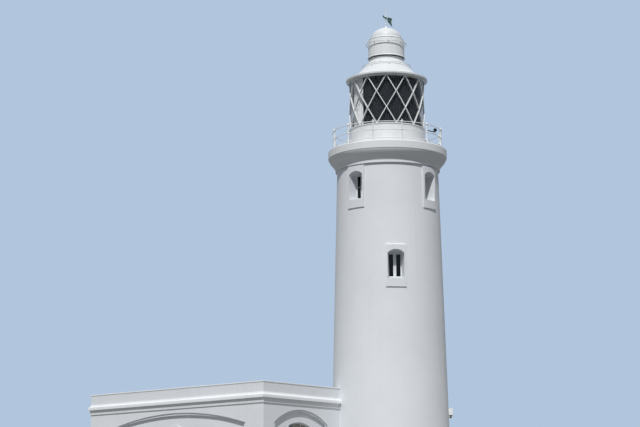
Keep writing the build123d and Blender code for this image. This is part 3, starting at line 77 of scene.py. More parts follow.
class Shader:
    """A material in the making, with short ways to add its nodes. Each method that makes a texture,
    a sum or a colour gives its output socket, and a value handed in may be a socket or a number."""

    def __init__(self, name):
        self.material = bpy.data.materials.new(name)
        self.material.use_nodes = True
        self.nodes = self.material.node_tree.nodes
        self.links = self.material.node_tree.links
        self.surface = self.nodes["Principled BSDF"]
        self.output = self.nodes["Material Output"]
        self.place = self.nodes.new("ShaderNodeTexCoord").outputs["Object"]

    def put(self, socket, value):
        if isinstance(value, bpy.types.NodeSocket):
            self.links.new(value, socket)
        elif isinstance(value, tuple) and len(value) == 3 and socket.type == "RGBA":
            socket.default_value = (*value, 1.0)
        else:
            socket.default_value = value

    def noise(self, scale, detail=4.0, rough=0.55, stretch=(1, 1, 1)):
        mapping = self.nodes.new("ShaderNodeMapping")
        self.links.new(self.place, mapping.inputs["Vector"])
        mapping.inputs["Scale"].default_value = stretch
        tex = self.nodes.new("ShaderNodeTexNoise")
        tex.inputs["Scale"].default_value = scale
        tex.inputs["Detail"].default_value = detail
        tex.inputs["Roughness"].default_value = rough
        self.links.new(mapping.outputs["Vector"], tex.inputs["Vector"])
        return tex.outputs["Fac"]

    def span(self, value, low, high, to_low=0.0, to_high=1.0):
        node = self.nodes.new("ShaderNodeMapRange")
        node.clamp = True
        self.put(node.inputs["Value"], value)
        for key, number in (("From Min", low), ("From Max", high), ("To Min", to_low), ("To Max", to_high)):
            node.inputs[key].default_value = number
        return node.outputs["Result"]

    def math(self, operation, *values):
        node = self.nodes.new("ShaderNodeMath")
        node.operation = operation
        for socket, value in zip(node.inputs, values):
            self.put(socket, value)
        return node.outputs["Value"]

    def mix(self, share, a, b):
        node = self.nodes.new("ShaderNodeMix")
        node.data_type = "RGBA"  # its colours are inputs 6 and 7 and output 2
        self.put(node.inputs[0], share)
        self.put(node.inputs[6], a)
        self.put(node.inputs[7], b)
        return node.outputs[2]

    def axis(self, name):
        split = self.nodes.new("ShaderNodeSeparateXYZ")
        self.links.new(self.place, split.inputs[0])
        return split.outputs[name]

    def bump(self, height, strength, distance, under=None):
        node = self.nodes.new("ShaderNodeBump")
        node.inputs["Strength"].default_value = strength
        node.inputs["Distance"].default_value = distance
        self.put(node.inputs["Height"], height)
        if under is not None:
            self.links.new(under, node.inputs["Normal"])
        return node.outputs["Normal"]

    def finish(self, colour, roughness, normal):
        self.put(self.surface.inputs["Base Color"], colour)
        self.put(self.surface.inputs["Roughness"], roughness)
        self.links.new(normal, self.surface.inputs["Normal"])
        return self.material


# The finishes: pale and shade are the colours of a finish's patches.
def limewash(name, pale, shade, streak=0.35, foot=0.35):
    """Brushed lime paint on smooth render: broad patches, faint runs, a splash line at the ground."""
    s = Shader(name)
    patches = s.span(s.noise(0.32, 5.0, 0.6), 0.35, 0.68)
    colour = s.mix(patches, pale, shade)
    runs = s.span(s.noise(2.4, 6.0, 0.62, (1.0, 1.0, 0.055)), 0.54, 0.82, 0.0, streak)
    colour = s.mix(runs, colour, tuple(0.86 * c for c in shade))
    mottle = s.span(s.noise(7.0, 6.0, 0.7), 0.3, 0.72, 0.0, 0.16)
    colour = s.mix(mottle, colour, tuple(min(1.0, 1.06 * c) for c in pale))
    splash = s.math("ADD", s.axis("Z"), s.span(s.noise(1.6, 5.0), 0.25, 0.75, -0.35, 0.35))
    splash_colour = (0.46, 0.46, 0.42)
    colour = s.mix(s.span(splash, 0.0, 0.7, foot, 0.0), colour, splash_colour)
    trowel = s.bump(s.noise(1.7, 3.0, 0.5), 0.35, 0.014)
    grain = s.bump(s.noise(34.0, 8.0, 0.62), 0.30, 0.004, trowel)
    roughness = s.span(s.noise(5.0, 4.0), 0.3, 0.7, 0.72, 0.9)
    return s.finish(colour, roughness, grain)


def gloss_paint(name, pale, shade, rough=0.30, streak=0.12):
    """Brushed gloss paint on iron, with dull patches and a light salt bloom."""
    s = Shader(name)
    colour = s.mix(s.span(s.noise(1.3, 5.0, 0.6), 0.35, 0.7), pale, shade)
    runs = s.span(s.noise(9.0, 6.0, 0.6, (1.0, 1.0, 0.08)), 0.56, 0.85, 0.0, streak)
    colour = s.mix(runs, colour, tuple(0.78 * c for c in shade))
    brush = s.bump(s.noise(55.0, 4.0, 0.5, (1.0, 1.0, 0.25)), 0.16, 0.002)
    roughness = s.span(s.noise(3.2, 5.0), 0.3, 0.7, rough, rough + 0.2)
    return s.finish(colour, roughness, brush)


def boarding(name, pale, shade):
    """Paint over planed boards: grain runs up the board."""
    s = Shader(name)
    grain = s.noise(16.0, 7.0, 0.62, (1.0, 1.0, 0.07))
    colour = s.mix(s.span(grain, 0.3, 0.72), pale, shade)
    colour = s.mix(s.span(s.noise(1.1, 4.0), 0.5, 0.8, 0.0, 0.35), colour, tuple(1.35 * c for c in pale))
    return s.finish(colour, s.span(grain, 0.3, 0.7, 0.42, 0.6), s.bump(grain, 0.35, 0.002))


def clear_glass(name, tint, mirrored=0.02, mirror_tint=(1.0, 1.0, 1.0)):
    """Thin plate glass: it lets lamps through, and mirrors what is round it as plate glass does."""
    s = Shader(name)
    through = s.nodes.new("ShaderNodeBsdfTransparent")
    through.inputs["Color"].default_value = (*tint, 1.0)
    mirror = s.nodes.new("ShaderNodeBsdfGlossy")
    mirror.inputs["Roughness"].default_value = 0.03
    mirror.inputs["Color"].default_value = (*mirror_tint, 1.0)
    s.links.new(s.bump(s.noise(1.6, 2.0, 0.4), 0.05, 0.006), mirror.inputs["Normal"])
    facing_away = s.nodes.new("ShaderNodeLayerWeight")
    facing_away.inputs["Blend"].default_value = 0.5
    grazing = s.math("POWER", facing_away.outputs["Facing"], 5.0)
    mirrored_at_the_edge = 0.96
    blend = s.nodes.new("ShaderNodeMixShader")
    gain = mirrored_at_the_edge - mirrored
    s.put(blend.inputs["Fac"], s.math("MULTIPLY_ADD", grazing, gain, mirrored))
    s.links.new(through.outputs["BSDF"], blend.inputs[1])
    s.links.new(mirror.outputs["BSDF"], blend.inputs[2])
    s.links.new(blend.outputs["Shader"], s.output.inputs["Surface"])
    s.nodes.remove(s.surface)
    return s.material


def cloth(name, pale, shade):
    """Plain-woven blind cloth, a little uneven where sun has bleached it."""
    s = Shader(name)
    colour = s.mix(s.span(s.noise(1.9, 4.0), 0.35, 0.7), pale, shade)
    weave = s.math("ADD", s.noise(420.0, 2.0, 0.5, (1, 1, 0.2)), s.noise(420.0, 2.0, 0.5, (0.2, 0.2, 1)))
    return s.finish(colour, s.span(weave, 0.6, 1.4, 0.85, 0.98), s.bump(weave, 0.3, 0.0006))


def screed(name, pale, shade):
    """Trowelled cement with damp patches."""
    s = Shader(name)
    colour = s.mix(s.span(s.noise(0.7, 6.0, 0.65), 0.35, 0.65), pale, shade)
    specks = s.span(s.noise(18.0, 6.0, 0.7), 0.4, 0.7, 0.0, 0.3)
    colour = s.mix(specks, colour, tuple(0.8 * c for c in shade))
    return s.finish(colour, 0.88, s.bump(s.noise(26.0, 8.0, 0.65), 0.4, 0.004))


wall_white = limewash("wall_limewash", (0.755, 0.78, 0.81), (0.705, 0.73, 0.762))
trim_white = limewash("trim_limewash", (0.775, 0.79, 0.805), (0.715, 0.735, 0.755), streak=0.5, foot=0.0)
iron_white = gloss_paint("iron_paint", (0.82, 0.83, 0.83), (0.75, 0.765, 0.77))
# Painted shade: the roof and the dome get a darker copy of the cowl's white paint, because their tops face
# the sun.
roof_white_painted_shade = gloss_paint("roof_paint_painted_shade", (0.705, 0.725, 0.735), (0.655, 0.68, 0.69), rough=0.42, streak=0.3)
cowl_white = gloss_paint("cowl_paint", (0.80, 0.825, 0.83), (0.745, 0.77, 0.78), rough=0.42, streak=0.3)
vane_green = gloss_paint("vane_paint", (0.035, 0.13, 0.045), (0.05, 0.10, 0.05), rough=0.4)
lamp_black = gloss_paint("lamp_paint", (0.018, 0.024, 0.024), (0.012, 0.016, 0.016), rough=0.45)
dark_iron = gloss_paint("fitting_iron", (0.045, 0.047, 0.05), (0.03, 0.032, 0.034), rough=0.42)
joinery_white = boarding("joinery_paint", (0.70, 0.72, 0.72), (0.63, 0.65, 0.655))
door_green = boarding("door_paint", (0.045, 0.105, 0.08), (0.035, 0.085, 0.066))
lantern_glass = clear_glass("lantern_plate", (0.985, 0.99, 0.988), mirror_tint=(0.45, 0.42, 0.40))
# Painted shade: the tower's windows, the side lamp's lens and the low building's windows get glass tinted
# dark, so the rooms seen through it look as dark as shaded rooms.
window_glass = clear_glass("window_plate", (0.34, 0.38, 0.37))
old_glass = clear_glass("old_window_plate", (0.34, 0.36, 0.35), 0.13, (1.0, 0.93, 0.83))
white_cloth = cloth("white_blind_cloth", (0.92, 0.92, 0.94), (0.85, 0.85, 0.875))
# Painted shade: the dark blind's near-black colour stands for the dark inside of the lantern.
dark_cloth_painted_shade = cloth("dark_blind_cloth_painted_shade", (0.012, 0.013, 0.017), (0.007, 0.008, 0.010))
roof_screed = screed("roof_screed", (0.44, 0.45, 0.45), (0.34, 0.35, 0.345))
floor_stone = screed("floor_stone", (0.36, 0.35, 0.33), (0.27, 0.262, 0.25))

# The finish of each node that shows as it is in the part's source
NODE_MATERIALS = {
    wall_white: """lower_wall_axes lower_wall_diagonals door_piers door_head mid_wall_axes
        mid_wall_diagonals mid_window_piers mid_window_spandrels upper_wall_diagonals upper_window_piers
        upper_window_spandrels south_wall south_wall_head east_wall east_wall_spandrels north_wall
        north_wall_spandrels west_wall west_wall_spandrels""",
    trim_white: "gallery_cornice gallery_deck annex_door_hood",
    iron_white: """railing_stanchions top_rail mid_rail lantern_wall_axes lantern_wall_diagonals
        gallery_door lantern_sill lantern_head_ring glazing_lattice roof_ring_rail drum_ring_rail finial
        wall_lamp toe_rail""",
    roof_white_painted_shade: "lantern_roof ventilator_dome",
    cowl_white: "lantern_soffit ventilator_neck ventilator_drum",
    vane_green: "wind_vane",
    lamp_black: "side_lamp",
    joinery_white: "window_frames annex_window_frames",
    door_green: "tower_door annex_door",
    lantern_glass: "lantern_panes",
    window_glass: "window_panes",
    old_glass: "annex_window_panes",
    roof_screed: "annex_roof",
    floor_stone: "ground_floor first_floor second_floor annex_floor",
}
for material, names in NODE_MATERIALS.items():
    for name in names.split():
        for material_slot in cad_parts[name].material_slots:
            material_slot.material = material


def at(azimuth, radius, level):
    """The frame at a place on the tower: X to the right seen from outside, Y inwards, Z up."""
    return Matrix.Rotation(radians(azimuth), 4, "Z") @ Matrix.Translation((0, -radius, level))


def facing(matrix):
    """The same place with Z pointing outwards."""
    return matrix @ Matrix.Rotation(radians(90), 4, "X")


def shaft_radius(level):
    """The shaft's outside radius at a height over the ground."""
    return GROUND_RADIUS - BATTER * level


def apart(first, second):
    """The angle between two azimuths."""
    return abs((first - second + 180) % 360 - 180)


def block(bm, matrix, width, depth, height):
    """A box centred on the matrix."""
    bmesh.ops.create_cube(bm, size=1.0, matrix=matrix @ Matrix.Diagonal((width, depth, height, 1)))


def ring_of_corners(bm, matrix, radius, height, steps):
    """Corners on a circle round the matrix's Z."""
    angles = [2 * pi * i / steps for i in range(steps)]
    return [bm.verts.new(matrix @ Vector((radius * cos(a), radius * sin(a), height))) for a in angles]


def lathe(bm, matrix, profile, steps):
    """A turned form: the profile is pairs of radius and height along the matrix's Z."""
    rings = []
    for radius, height in profile:
        if radius == 0:
            rings.append([bm.verts.new(matrix @ Vector((0, 0, height)))])
        else:
            rings.append(ring_of_corners(bm, matrix, radius, height, steps))
    for low, high in zip(rings, rings[1:]):
        for i in range(steps):
            j = (i + 1) % steps
            corners = [low[i % len(low)], low[j % len(low)], high[j % len(high)], high[i % len(high)]]
            bm.faces.new(list(dict.fromkeys(corners)))
    for ring, flip in ((rings[0], True), (rings[-1], False)):
        if len(ring) > 2:
            bm.faces.new(ring[::-1] if flip else ring)


def hoop(bm, matrix, profile, steps=96):
    """A ring round the matrix's Z: the profile is a closed list of radii and heights."""
    rings = [ring_of_corners(bm, matrix, radius, height, steps) for radius, height in profile]
    for low, high in zip(rings, rings[1:] + rings[:1]):
        for i in range(steps):
            j = (i + 1) % steps
            bm.faces.new([low[i], low[j], high[j], high[i]])


def skin(bm, loops):
    """Faces between the neighbours in a closed list of open loops, and a cap on each end."""
    for low, high in zip(loops, loops[1:] + loops[:1]):
        for i in range(len(low) - 1):
            bm.faces.new([low[i], low[i + 1], high[i + 1], high[i]])
    for end in (0, -1):
        bm.faces.new([loop[end] for loop in loops])


def bolt(bm, matrix, radius=0.012, height=0.009):
    """A hexagon head on a washer, standing up along the matrix's Z."""
    lathe(bm, matrix, [(1.5 * radius, 0), (1.5 * radius, 0.3 * height), (1.4 * radius, 0.4 * height)], 16)
    lathe(bm, matrix, [(radius, 0.3 * height), (radius, 0.95 * height), (0.85 * radius, 1.2 * height)], 6)


def rivet(bm, matrix, radius):
    """A round rivet head."""
    shape = ((1.0, 0), (0.85, 0.4), (0.45, 0.68), (0, 0.75))
    lathe(bm, matrix, [(radius * across, radius * up) for across, up in shape], 10)


def plate(bm, matrix, outline, thickness):
    """A flat plate: the outline is in the matrix's X and Z, and it grows outwards, along -Y."""
    back = [bm.verts.new(matrix @ Vector((x, 0, z))) for x, z in outline]
    front = [bm.verts.new(matrix @ Vector((x, -thickness, z))) for x, z in outline]
    bm.faces.new(front)
    bm.faces.new(back[::-1])
    count = len(outline)
    for i in range(count):
        j = (i + 1) % count
        bm.faces.new([back[i], back[j], front[j], front[i]])


def piece(name, bm, material, body=HOUSE, bevel=0.0, sharp=35.0):
    """Turns the mesh under way into an object that rides on a body."""
    bmesh.ops.recalc_face_normals(bm, faces=bm.faces)
    mesh = bpy.data.meshes.new(name)
    bm.to_mesh(mesh)
    bm.free()
    mesh.polygons.foreach_set("use_smooth", [True] * len(mesh.polygons))
    mesh.set_sharp_from_angle(angle=radians(sharp))
    mesh.materials.append(material)
    obj = bpy.data.objects.new(name, mesh)
    bpy.context.scene.collection.objects.link(obj)
    if bevel:
        modifier = obj.modifiers.new("edges", "BEVEL")
        modifier.width = bevel
        modifier.segments = 2
        modifier.limit_method = "ANGLE"
        modifier.angle_limit = radians(40)
    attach(obj, body)
    return obj


# Railing: a bolted flange under each stanchion, and a collar on each side of each ball
FLANGE = [(0.118, 0), (0.118, 0.016), (0.110, 0.022), (0.074, 0.026), (0.074, 0)]
FLANGE_BOLT_RADIUS = 0.096
FLANGE_BOLT_FOOT = 0.020
STANCHION_BEAD = [(0.052, 0.085), (0.058, 0.095), (0.052, 0.105), (0.042, 0.110), (0.042, 0.080)]
bm = bmesh.new()
for i in range(STANCHIONS):
    foot = at(STANCHION_TURN + 360 / STANCHIONS * i, RAILING_RADIUS, DECK)
    lathe(bm, foot, FLANGE, 28)
    for quarter in range(4):
        turn = foot @ Matrix.Rotation(radians(45 + 90 * quarter), 4, "Z")
        bolt(bm, turn @ Matrix.Translation((FLANGE_BOLT_RADIUS, 0, FLANGE_BOLT_FOOT)))
    lathe(bm, foot, STANCHION_BEAD, 24)
piece("stanchion_flanges", bm, iron_white)

RAIL_COLLAR = [(RAIL_RADIUS, -0.012), (0.036, -0.006), (0.036, 0.010), (0.030, 0.018), (RAIL_RADIUS, 0.022)]
COLLAR_GAP = 0.004
bm = bmesh.new()
for level, ball in RAILS:
    for i in range(STANCHIONS):
        for side in (-1, 1):
            shift = side * degrees((ball + COLLAR_GAP) / RAILING_RADIUS)
            place = at(STANCHION_TURN + 360 / STANCHIONS * i + shift, RAILING_RADIUS, DECK + level)
            lathe(bm, place @ Matrix.Rotation(radians(90) * side, 4, "Y"), RAIL_COLLAR, 20)
piece("rail_collars", bm, iron_white)

# Lattice: a bolted boss over each inner crossing
BOSS_FOOT = 0.046
BOSS = [(0.038, -0.01), (0.038, 0.008), (0.032, 0.014), (0.015, 0.016)]
BOSS_TOP = 0.015
bm = bmesh.new()
for row in (1, 2):
    for bay in range(LATTICE_BAYS):
        azimuth = LATTICE_TURN + 360 / LATTICE_BAYS * (bay + (row % 2) / 2)
        boss = facing(at(azimuth, LATTICE_RADIUS + BOSS_FOOT, LATTICE_LOW + (3 - row) * LATTICE_STEP))
        lathe(bm, boss, BOSS, 24)
        bolt(bm, boss @ Matrix.Translation((0, 0, BOSS_TOP)), 0.009, 0.009)
piece("lattice_bosses", bm, iron_white)

# Rivets round the lantern's wall, the eave, the drum and the neck
WALL_RIVETS, EAVE_RIVETS, DRUM_RIVETS = 96, 72, 40
WALL_LOW_RIVETS, WALL_TOP_RIVETS, EAVE_LEVEL = DECK + 0.06, 19.70, 22.735
DRUM_TOP_RIVETS, DRUM_LOW_RIVETS, NECK_LEVEL = 25.06, 24.20, 24.06
GALLERY_DOOR_AZIMUTH = 225
GALLERY_DOOR_HALF_TURN = 9.5
bm = bmesh.new()
for i in range(WALL_RIVETS):
    azimuth = 360 / WALL_RIVETS * i
    if apart(azimuth, GALLERY_DOOR_AZIMUTH) > GALLERY_DOOR_HALF_TURN:
        rivet(bm, facing(at(azimuth, LANTERN_WALL_RADIUS, WALL_LOW_RIVETS)), 0.013)
    rivet(bm, facing(at(azimuth, LANTERN_WALL_RADIUS, WALL_TOP_RIVETS)), 0.013)
for i in range(EAVE_RIVETS):
    rivet(bm, facing(at(360 / EAVE_RIVETS * i, EAVE_RADIUS, EAVE_LEVEL)), 0.011)
for i in range(DRUM_RIVETS):
    azimuth = 360 / DRUM_RIVETS * i
    rivet(bm, facing(at(azimuth, DRUM_RADIUS, DRUM_TOP_RIVETS)), 0.010)
    rivet(bm, facing(at(azimuth, DRUM_RADIUS, DRUM_LOW_RIVETS)), 0.010)
    rivet(bm, facing(at(azimuth, NECK_RADIUS, NECK_LEVEL)), 0.009)
piece("rivets", bm, iron_white, sharp=60)

# Seats of the two ring rails' brackets
BRACKETS = 8
ROOF_RAIL_RADIUS, ROOF_SURFACE = 1.385, 23.458
ROOF_SLOPE = Matrix.Rotation(-0.835, 4, "X")  # from level to the roof's surface under the rail
ROOF_SEAT = [(0.05, -0.01), (0.05, 0.012), (0.03, 0.02), (0.014, 0.022)]
DRUM_RAIL_LEVEL = 24.930
DRUM_SEAT = [(0.045, -0.01), (0.045, 0.01), (0.028, 0.018), (0.014, 0.02)]
bm = bmesh.new()
for i in range(BRACKETS):
    azimuth = 90 + 360 / BRACKETS * i
    lathe(bm, at(azimuth, ROOF_RAIL_RADIUS, ROOF_SURFACE) @ ROOF_SLOPE, ROOF_SEAT, 20)
    lathe(bm, facing(at(azimuth, DRUM_RADIUS, DRUM_RAIL_LEVEL)), DRUM_SEAT, 20)
piece("bracket_seats", bm, iron_white)


def strap(bm, matrix, length, thickness=0.006):
    """A strap hinge that tapers to a round end, with its knuckle and three bolts."""
    root, neck, eye = 0.026, 0.014, 0.022
    neck_at = length - 0.03
    outline = [(0, -root), (neck_at, -neck)]
    for turn in (-60, -20, 20, 60):
        outline.append((length - 0.02 + eye * cos(radians(turn)), eye * sin(radians(turn))))
    outline += [(neck_at, neck), (0, root)]
    plate(bm, matrix, outline, thickness)
    knuckle = matrix @ Matrix.Translation((-0.008, -0.012, -0.035))
    lathe(bm, knuckle, [(0, 0), (0.013, 0), (0.013, 0.07), (0, 0.07)], 16)
    for share in (0.14, 0.5, 0.86):
        bolt(bm, facing(matrix @ Matrix.Translation((share * length, -thickness, 0))), 0.007, 0.006)


def ring_handle(bm, matrix, radius=0.045, tube=0.0065):
    """A round rose with a hanging ring."""
    lathe(bm, facing(matrix), [(0.032, -0.004), (0.032, 0.006), (0.020, 0.014), (0, 0.018)], 24)
    angles = [2 * pi * k / 8 for k in range(8)]
    section = [(radius + tube * cos(a), tube * sin(a)) for a in angles]
    hoop(bm, facing(matrix @ Matrix.Translation((0, -0.016, -radius))), section, 28)


BOARD_THICKNESS = 0.014


def boards(bm, matrix, width, foot, top, count):
    """Upright boards over a door leaf. top gives the height of the door at a place across it."""
    pitch, gap = width / count, 0.006
    for i in range(count):
        left = -width / 2 + i * pitch + gap / 2
        right = left + pitch - gap
        steps = [left + (right - left) * k / 6 for k in range(7)]
        outline = [(left, foot), (right, foot)] + [(x, top(x)) for x in reversed(steps)]
        plate(bm, matrix, outline, BOARD_THICKNESS)


# Tower door: boards, strap hinges, handle and lock plate
TOWER_DOOR_AZIMUTH, TOWER_DOOR_FACE, TOWER_DOOR_TOP = 135, 2.875, 2.12
LATCH_SIDE, HANDLE_LEVEL, LOCK_LEVEL = 0.33, 1.10, 0.93
LOCK_PLATE = [(-0.025, -0.05), (0.025, -0.05), (0.025, 0.05), (-0.025, 0.05)]
door = at(TOWER_DOOR_AZIMUTH + WINDOW_TURN, TOWER_DOOR_FACE, 0)
bm = bmesh.new()
boards(bm, door, width=0.85, foot=0.012, top=lambda x: TOWER_DOOR_TOP, count=6)
piece("tower_door_boards", bm, door_green, bevel=0.004)
bm = bmesh.new()
front = door @ Matrix.Translation((0, -BOARD_THICKNESS, 0))
for level in (0.30, 1.08, 1.86):
    strap(bm, front @ Matrix.Translation((-0.40, 0, level)), length=0.55)
ring_handle(bm, front @ Matrix.Translation((LATCH_SIDE, 0, HANDLE_LEVEL)))
plate(bm, front @ Matrix.Translation((LATCH_SIDE, 0, LOCK_LEVEL)), LOCK_PLATE, 0.005)
piece("tower_door_ironwork", bm, dark_iron, bevel=0.0012)

# Low building's door, with a round head
HEAD_CENTRE, HEAD_RADIUS = 2.14, 0.449
ANNEX_DOOR_DEPTH = 0.28


def round_head(x):
    """The height of the door's round head at a place across it."""
    return HEAD_CENTRE + sqrt(max(0.0, HEAD_RADIUS**2 - x * x))


leaf = Matrix.Translation((ANNEX_MIDDLE, ANNEX_SOUTH + ANNEX_DOOR_DEPTH, 0))
bm = bmesh.new()
boards(bm, leaf, width=0.90, foot=0.212, top=round_head, count=7)
piece("annex_door_boards", bm, door_green, bevel=0.004)
bm = bmesh.new()
front = leaf @ Matrix.Translation((0, -BOARD_THICKNESS, 0))
for level in (0.45, 1.25, 2.02):
    strap(bm, front @ Matrix.Translation((-0.43, 0, level)), length=0.56)
ring_handle(bm, front @ Matrix.Translation((0.35, 0, 1.25)))
piece("annex_door_ironwork", bm, dark_iron, bevel=0.0012)

# Gallery door: an iron leaf with a riveted border, hinges and a lever
GALLERY_DOOR_FACE = 2.125
leaf = at(GALLERY_DOOR_AZIMUTH, GALLERY_DOOR_FACE, DECK)
BORDER_SIDE = 0.265
BORDER_LOW, BORDER_TOP = 0.045, 1.075
BORDER = (  # each strip's middle across and up, its width and its height
    (0, BORDER_LOW, 0.58, 0.07),
    (0, BORDER_TOP, 0.58, 0.07),
    (-BORDER_SIDE, 0.56, 0.05, 0.96),
    (BORDER_SIDE, 0.56, 0.05, 0.96),
    (0, 0.60, 0.48, 0.05),
)
STRIP_DEPTH = 0.010
STRIP_MIDDLE, STRIP_FACE = -0.004, -0.009
ROW_START, ROW_PITCH = -0.24, 0.08
COLUMN_START, COLUMN_PITCH = 0.13, 0.096
bm = bmesh.new()
for x, z, width, height in BORDER:
    block(bm, leaf @ Matrix.Translation((x, STRIP_MIDDLE, z)), width, STRIP_DEPTH, height)
for k in range(7):
    for z in (BORDER_LOW, BORDER_TOP):
        place = leaf @ Matrix.Translation((ROW_START + ROW_PITCH * k, STRIP_FACE, z))
        rivet(bm, facing(place), 0.009)
for k in range(10):
    for x in (-BORDER_SIDE, BORDER_SIDE):
        place = leaf @ Matrix.Translation((x, STRIP_FACE, COLUMN_START + COLUMN_PITCH * k))
        rivet(bm, facing(place), 0.009)
for z in (0.22, 0.90):
    knuckle = leaf @ Matrix.Translation((-0.300, -0.012, z))
    lathe(bm, knuckle, [(0, 0), (0.014, 0), (0.014, 0.1), (0, 0.1)], 16)
spindle = facing(leaf @ Matrix.Translation((0.23, 0, 0.56)))
lathe(bm, spindle, [(0.022, 0), (0.022, 0.014), (0.012, 0.018), (0.012, 0.05)], 20)
lever = leaf @ Matrix.Translation((0.18, -0.052, 0.56))
block(bm, lever, 0.13, 0.014, 0.022)
piece("gallery_door_ironwork", bm, iron_white, bevel=0.0015)

# Glazing bars: one across each light of the upper tower windows, a grid in the low building's
UPPER_LIGHT_MIDDLE, UPPER_LIGHT_WIDTH = 0.205, 0.240
UPPER_BAR_RADIUS, UPPER_BAR_LEVEL = 2.368, 16.15
bm = bmesh.new()
for azimuth in (0, 90, 180, 270):
    for x in (-UPPER_LIGHT_MIDDLE, UPPER_LIGHT_MIDDLE):
        place = at(azimuth + WINDOW_TURN, UPPER_BAR_RADIUS, UPPER_BAR_LEVEL) @ Matrix.Translation((x, 0, 0))
        block(bm, place, UPPER_LIGHT_WIDTH, 0.030, 0.020)
piece("tower_glazing_bars", bm, joinery_white, bevel=0.003)

# The low building's short and unseen faces: a turn, the face's distance, and its arch's middle
EAST_ARCH_MIDDLE = -6.3
NORTH_WALL_START = 3.291  # how far from the tower's axis the north wall leaves the tower
ANNEX_FACES = (
    (Matrix.Rotation(radians(90), 4, "Z"), ANNEX_EAST, EAST_ARCH_MIDDLE),
    (Matrix.Rotation(radians(180), 4, "Z"), 0.0, (NORTH_WALL_START - ANNEX_WEST) / 2),
    (Matrix.Rotation(radians(270), 4, "Z"), -ANNEX_WEST, -ANNEX_SOUTH / 2),
)
GLAZING_DEPTH, KNOB_DEPTH, SILL_DEPTH = 0.335, 0.298, 0.165  # behind the wall's face
CASEMENT_MIDDLE, CASEMENT_LEVEL = 0.415, 1.525
CASEMENT_WIDTH, CASEMENT_HEIGHT = 0.760, 0.910
CROSS_BARS = (1.375, 1.675)
FANLIGHT_LOW, FANLIGHT_TOP, FANLIGHT_BAR = 2.050, 2.673, 0.26
KNOB_SIDE, KNOB_LEVEL = 0.0315, 1.50
BAR_WIDTH, BAR_DEPTH, CROSS_BAR_DEPTH = 0.022, 0.034, 0.032
KNOB = [(0.014, 0), (0.014, 0.006), (0.007, 0.010), (0.007, 0.03), (0.012, 0.034), (0, 0.04)]
SILL = [(-0.965, 0.895), (0.965, 0.895), (0.965, 0.985), (-0.965, 0.985)]
bars = bmesh.new()
sills = bmesh.new()
knobs = bmesh.new()
for turn, distance, centre in ANNEX_FACES:
    face = turn @ Matrix.Translation((centre, -distance, 0))
    glazing = face @ Matrix.Translation((0, GLAZING_DEPTH, 0))
    for middle in (-CASEMENT_MIDDLE, CASEMENT_MIDDLE):
        upright = glazing @ Matrix.Translation((middle, 0, CASEMENT_LEVEL))
        block(bars, upright, BAR_WIDTH, BAR_DEPTH, CASEMENT_HEIGHT)
        for level in CROSS_BARS:
            cross_bar = glazing @ Matrix.Translation((middle, 0, level))
            block(bars, cross_bar, CASEMENT_WIDTH, CROSS_BAR_DEPTH, BAR_WIDTH)
    for x in (-FANLIGHT_BAR, FANLIGHT_BAR):
        upright = glazing @ Matrix.Translation((x, 0, (FANLIGHT_LOW + FANLIGHT_TOP) / 2))
        block(bars, upright, BAR_WIDTH, BAR_DEPTH, FANLIGHT_TOP - FANLIGHT_LOW)
    for x in (-KNOB_SIDE, KNOB_SIDE):
        lathe(knobs, facing(face @ Matrix.Translation((x, KNOB_DEPTH, KNOB_LEVEL))), KNOB, 16)
    plate(sills, face @ Matrix.Translation((0, SILL_DEPTH, 0)), SILL, 0.06)
piece("annex_glazing_bars", bars, joinery_white, bevel=0.003)
piece("annex_window_sills", sills, trim_white, bevel=0.012)
piece("annex_window_knobs", knobs, dark_iron)


def run_round_annex(name, profile, replaced):
    """A moulding run round the low building from tower to tower. The profile is a closed list of
    distances out from the wall's face and heights, and the run ends just inside the tower's wall."""
    bite = 0.05
    bm = bmesh.new()
    loops = []
    for out, height in profile:
        tower = shaft_radius(height)
        east, west, south, north = ANNEX_EAST + out, ANNEX_WEST - out, ANNEX_SOUTH - out, out
        corners = (
            (east, bite - sqrt(tower**2 - east**2)),
            (east, south),
            (west, south),
            (west, north),
            (bite - sqrt(tower**2 - north**2), north),
        )
        loops.append([bm.verts.new((x, y, height)) for x, y in corners])
    skin(bm, loops)
    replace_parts(piece(name, bm, trim_white, sharp=28), replaced)


# Cornice: a band, a deep fascia over it and a hollow weathering. Coping: a small rounded nosing.
run_round_annex(
    "annex_cornice_run",
    [
        (-0.004, 3.660), (0.038, 3.660), (0.045, 3.668), (0.045, 3.900), (0.050, 3.914), (0.060, 3.920),
        (0.130, 3.920), (0.140, 3.930), (0.140, 4.080), (0.134, 4.094), (0.096, 4.110), (0.062, 4.132),
        (0.036, 4.162), (0.016, 4.205), (0.004, 4.250), (-0.004, 4.250),
    ],
    "annex_cornice",
)
run_round_annex(
    "annex_coping_run",
    [
        (0.0, 4.720), (0.0, 4.758), (0.016, 4.758), (0.021, 4.763), (0.021, 4.806), (0.012, 4.820),
        (-0.462, 4.820), (-0.471, 4.806), (-0.471, 4.763), (-0.450, 4.758), (-0.450, 4.720),
    ],
    "annex_coping",
)


def arch_edge(half, inset, steps=40):
    """A blind arch's edge from plinth over crown to plinth, inset from the arris of the wall."""
    crown = ANNEX_ARCH_CROWN - inset
    reach, rise = half - inset, crown - ANNEX_ARCH_SPRING
    radius = (reach**2 + rise**2) / (2 * rise)
    points = [(-reach, ANNEX_PLINTH_TOP)]
    for i in range(steps + 1):
        x = reach * (2 * i / steps - 1)
        points.append((x, crown - radius + sqrt(radius**2 - x * x)))
    return points + [(reach, ANNEX_PLINTH_TOP)]


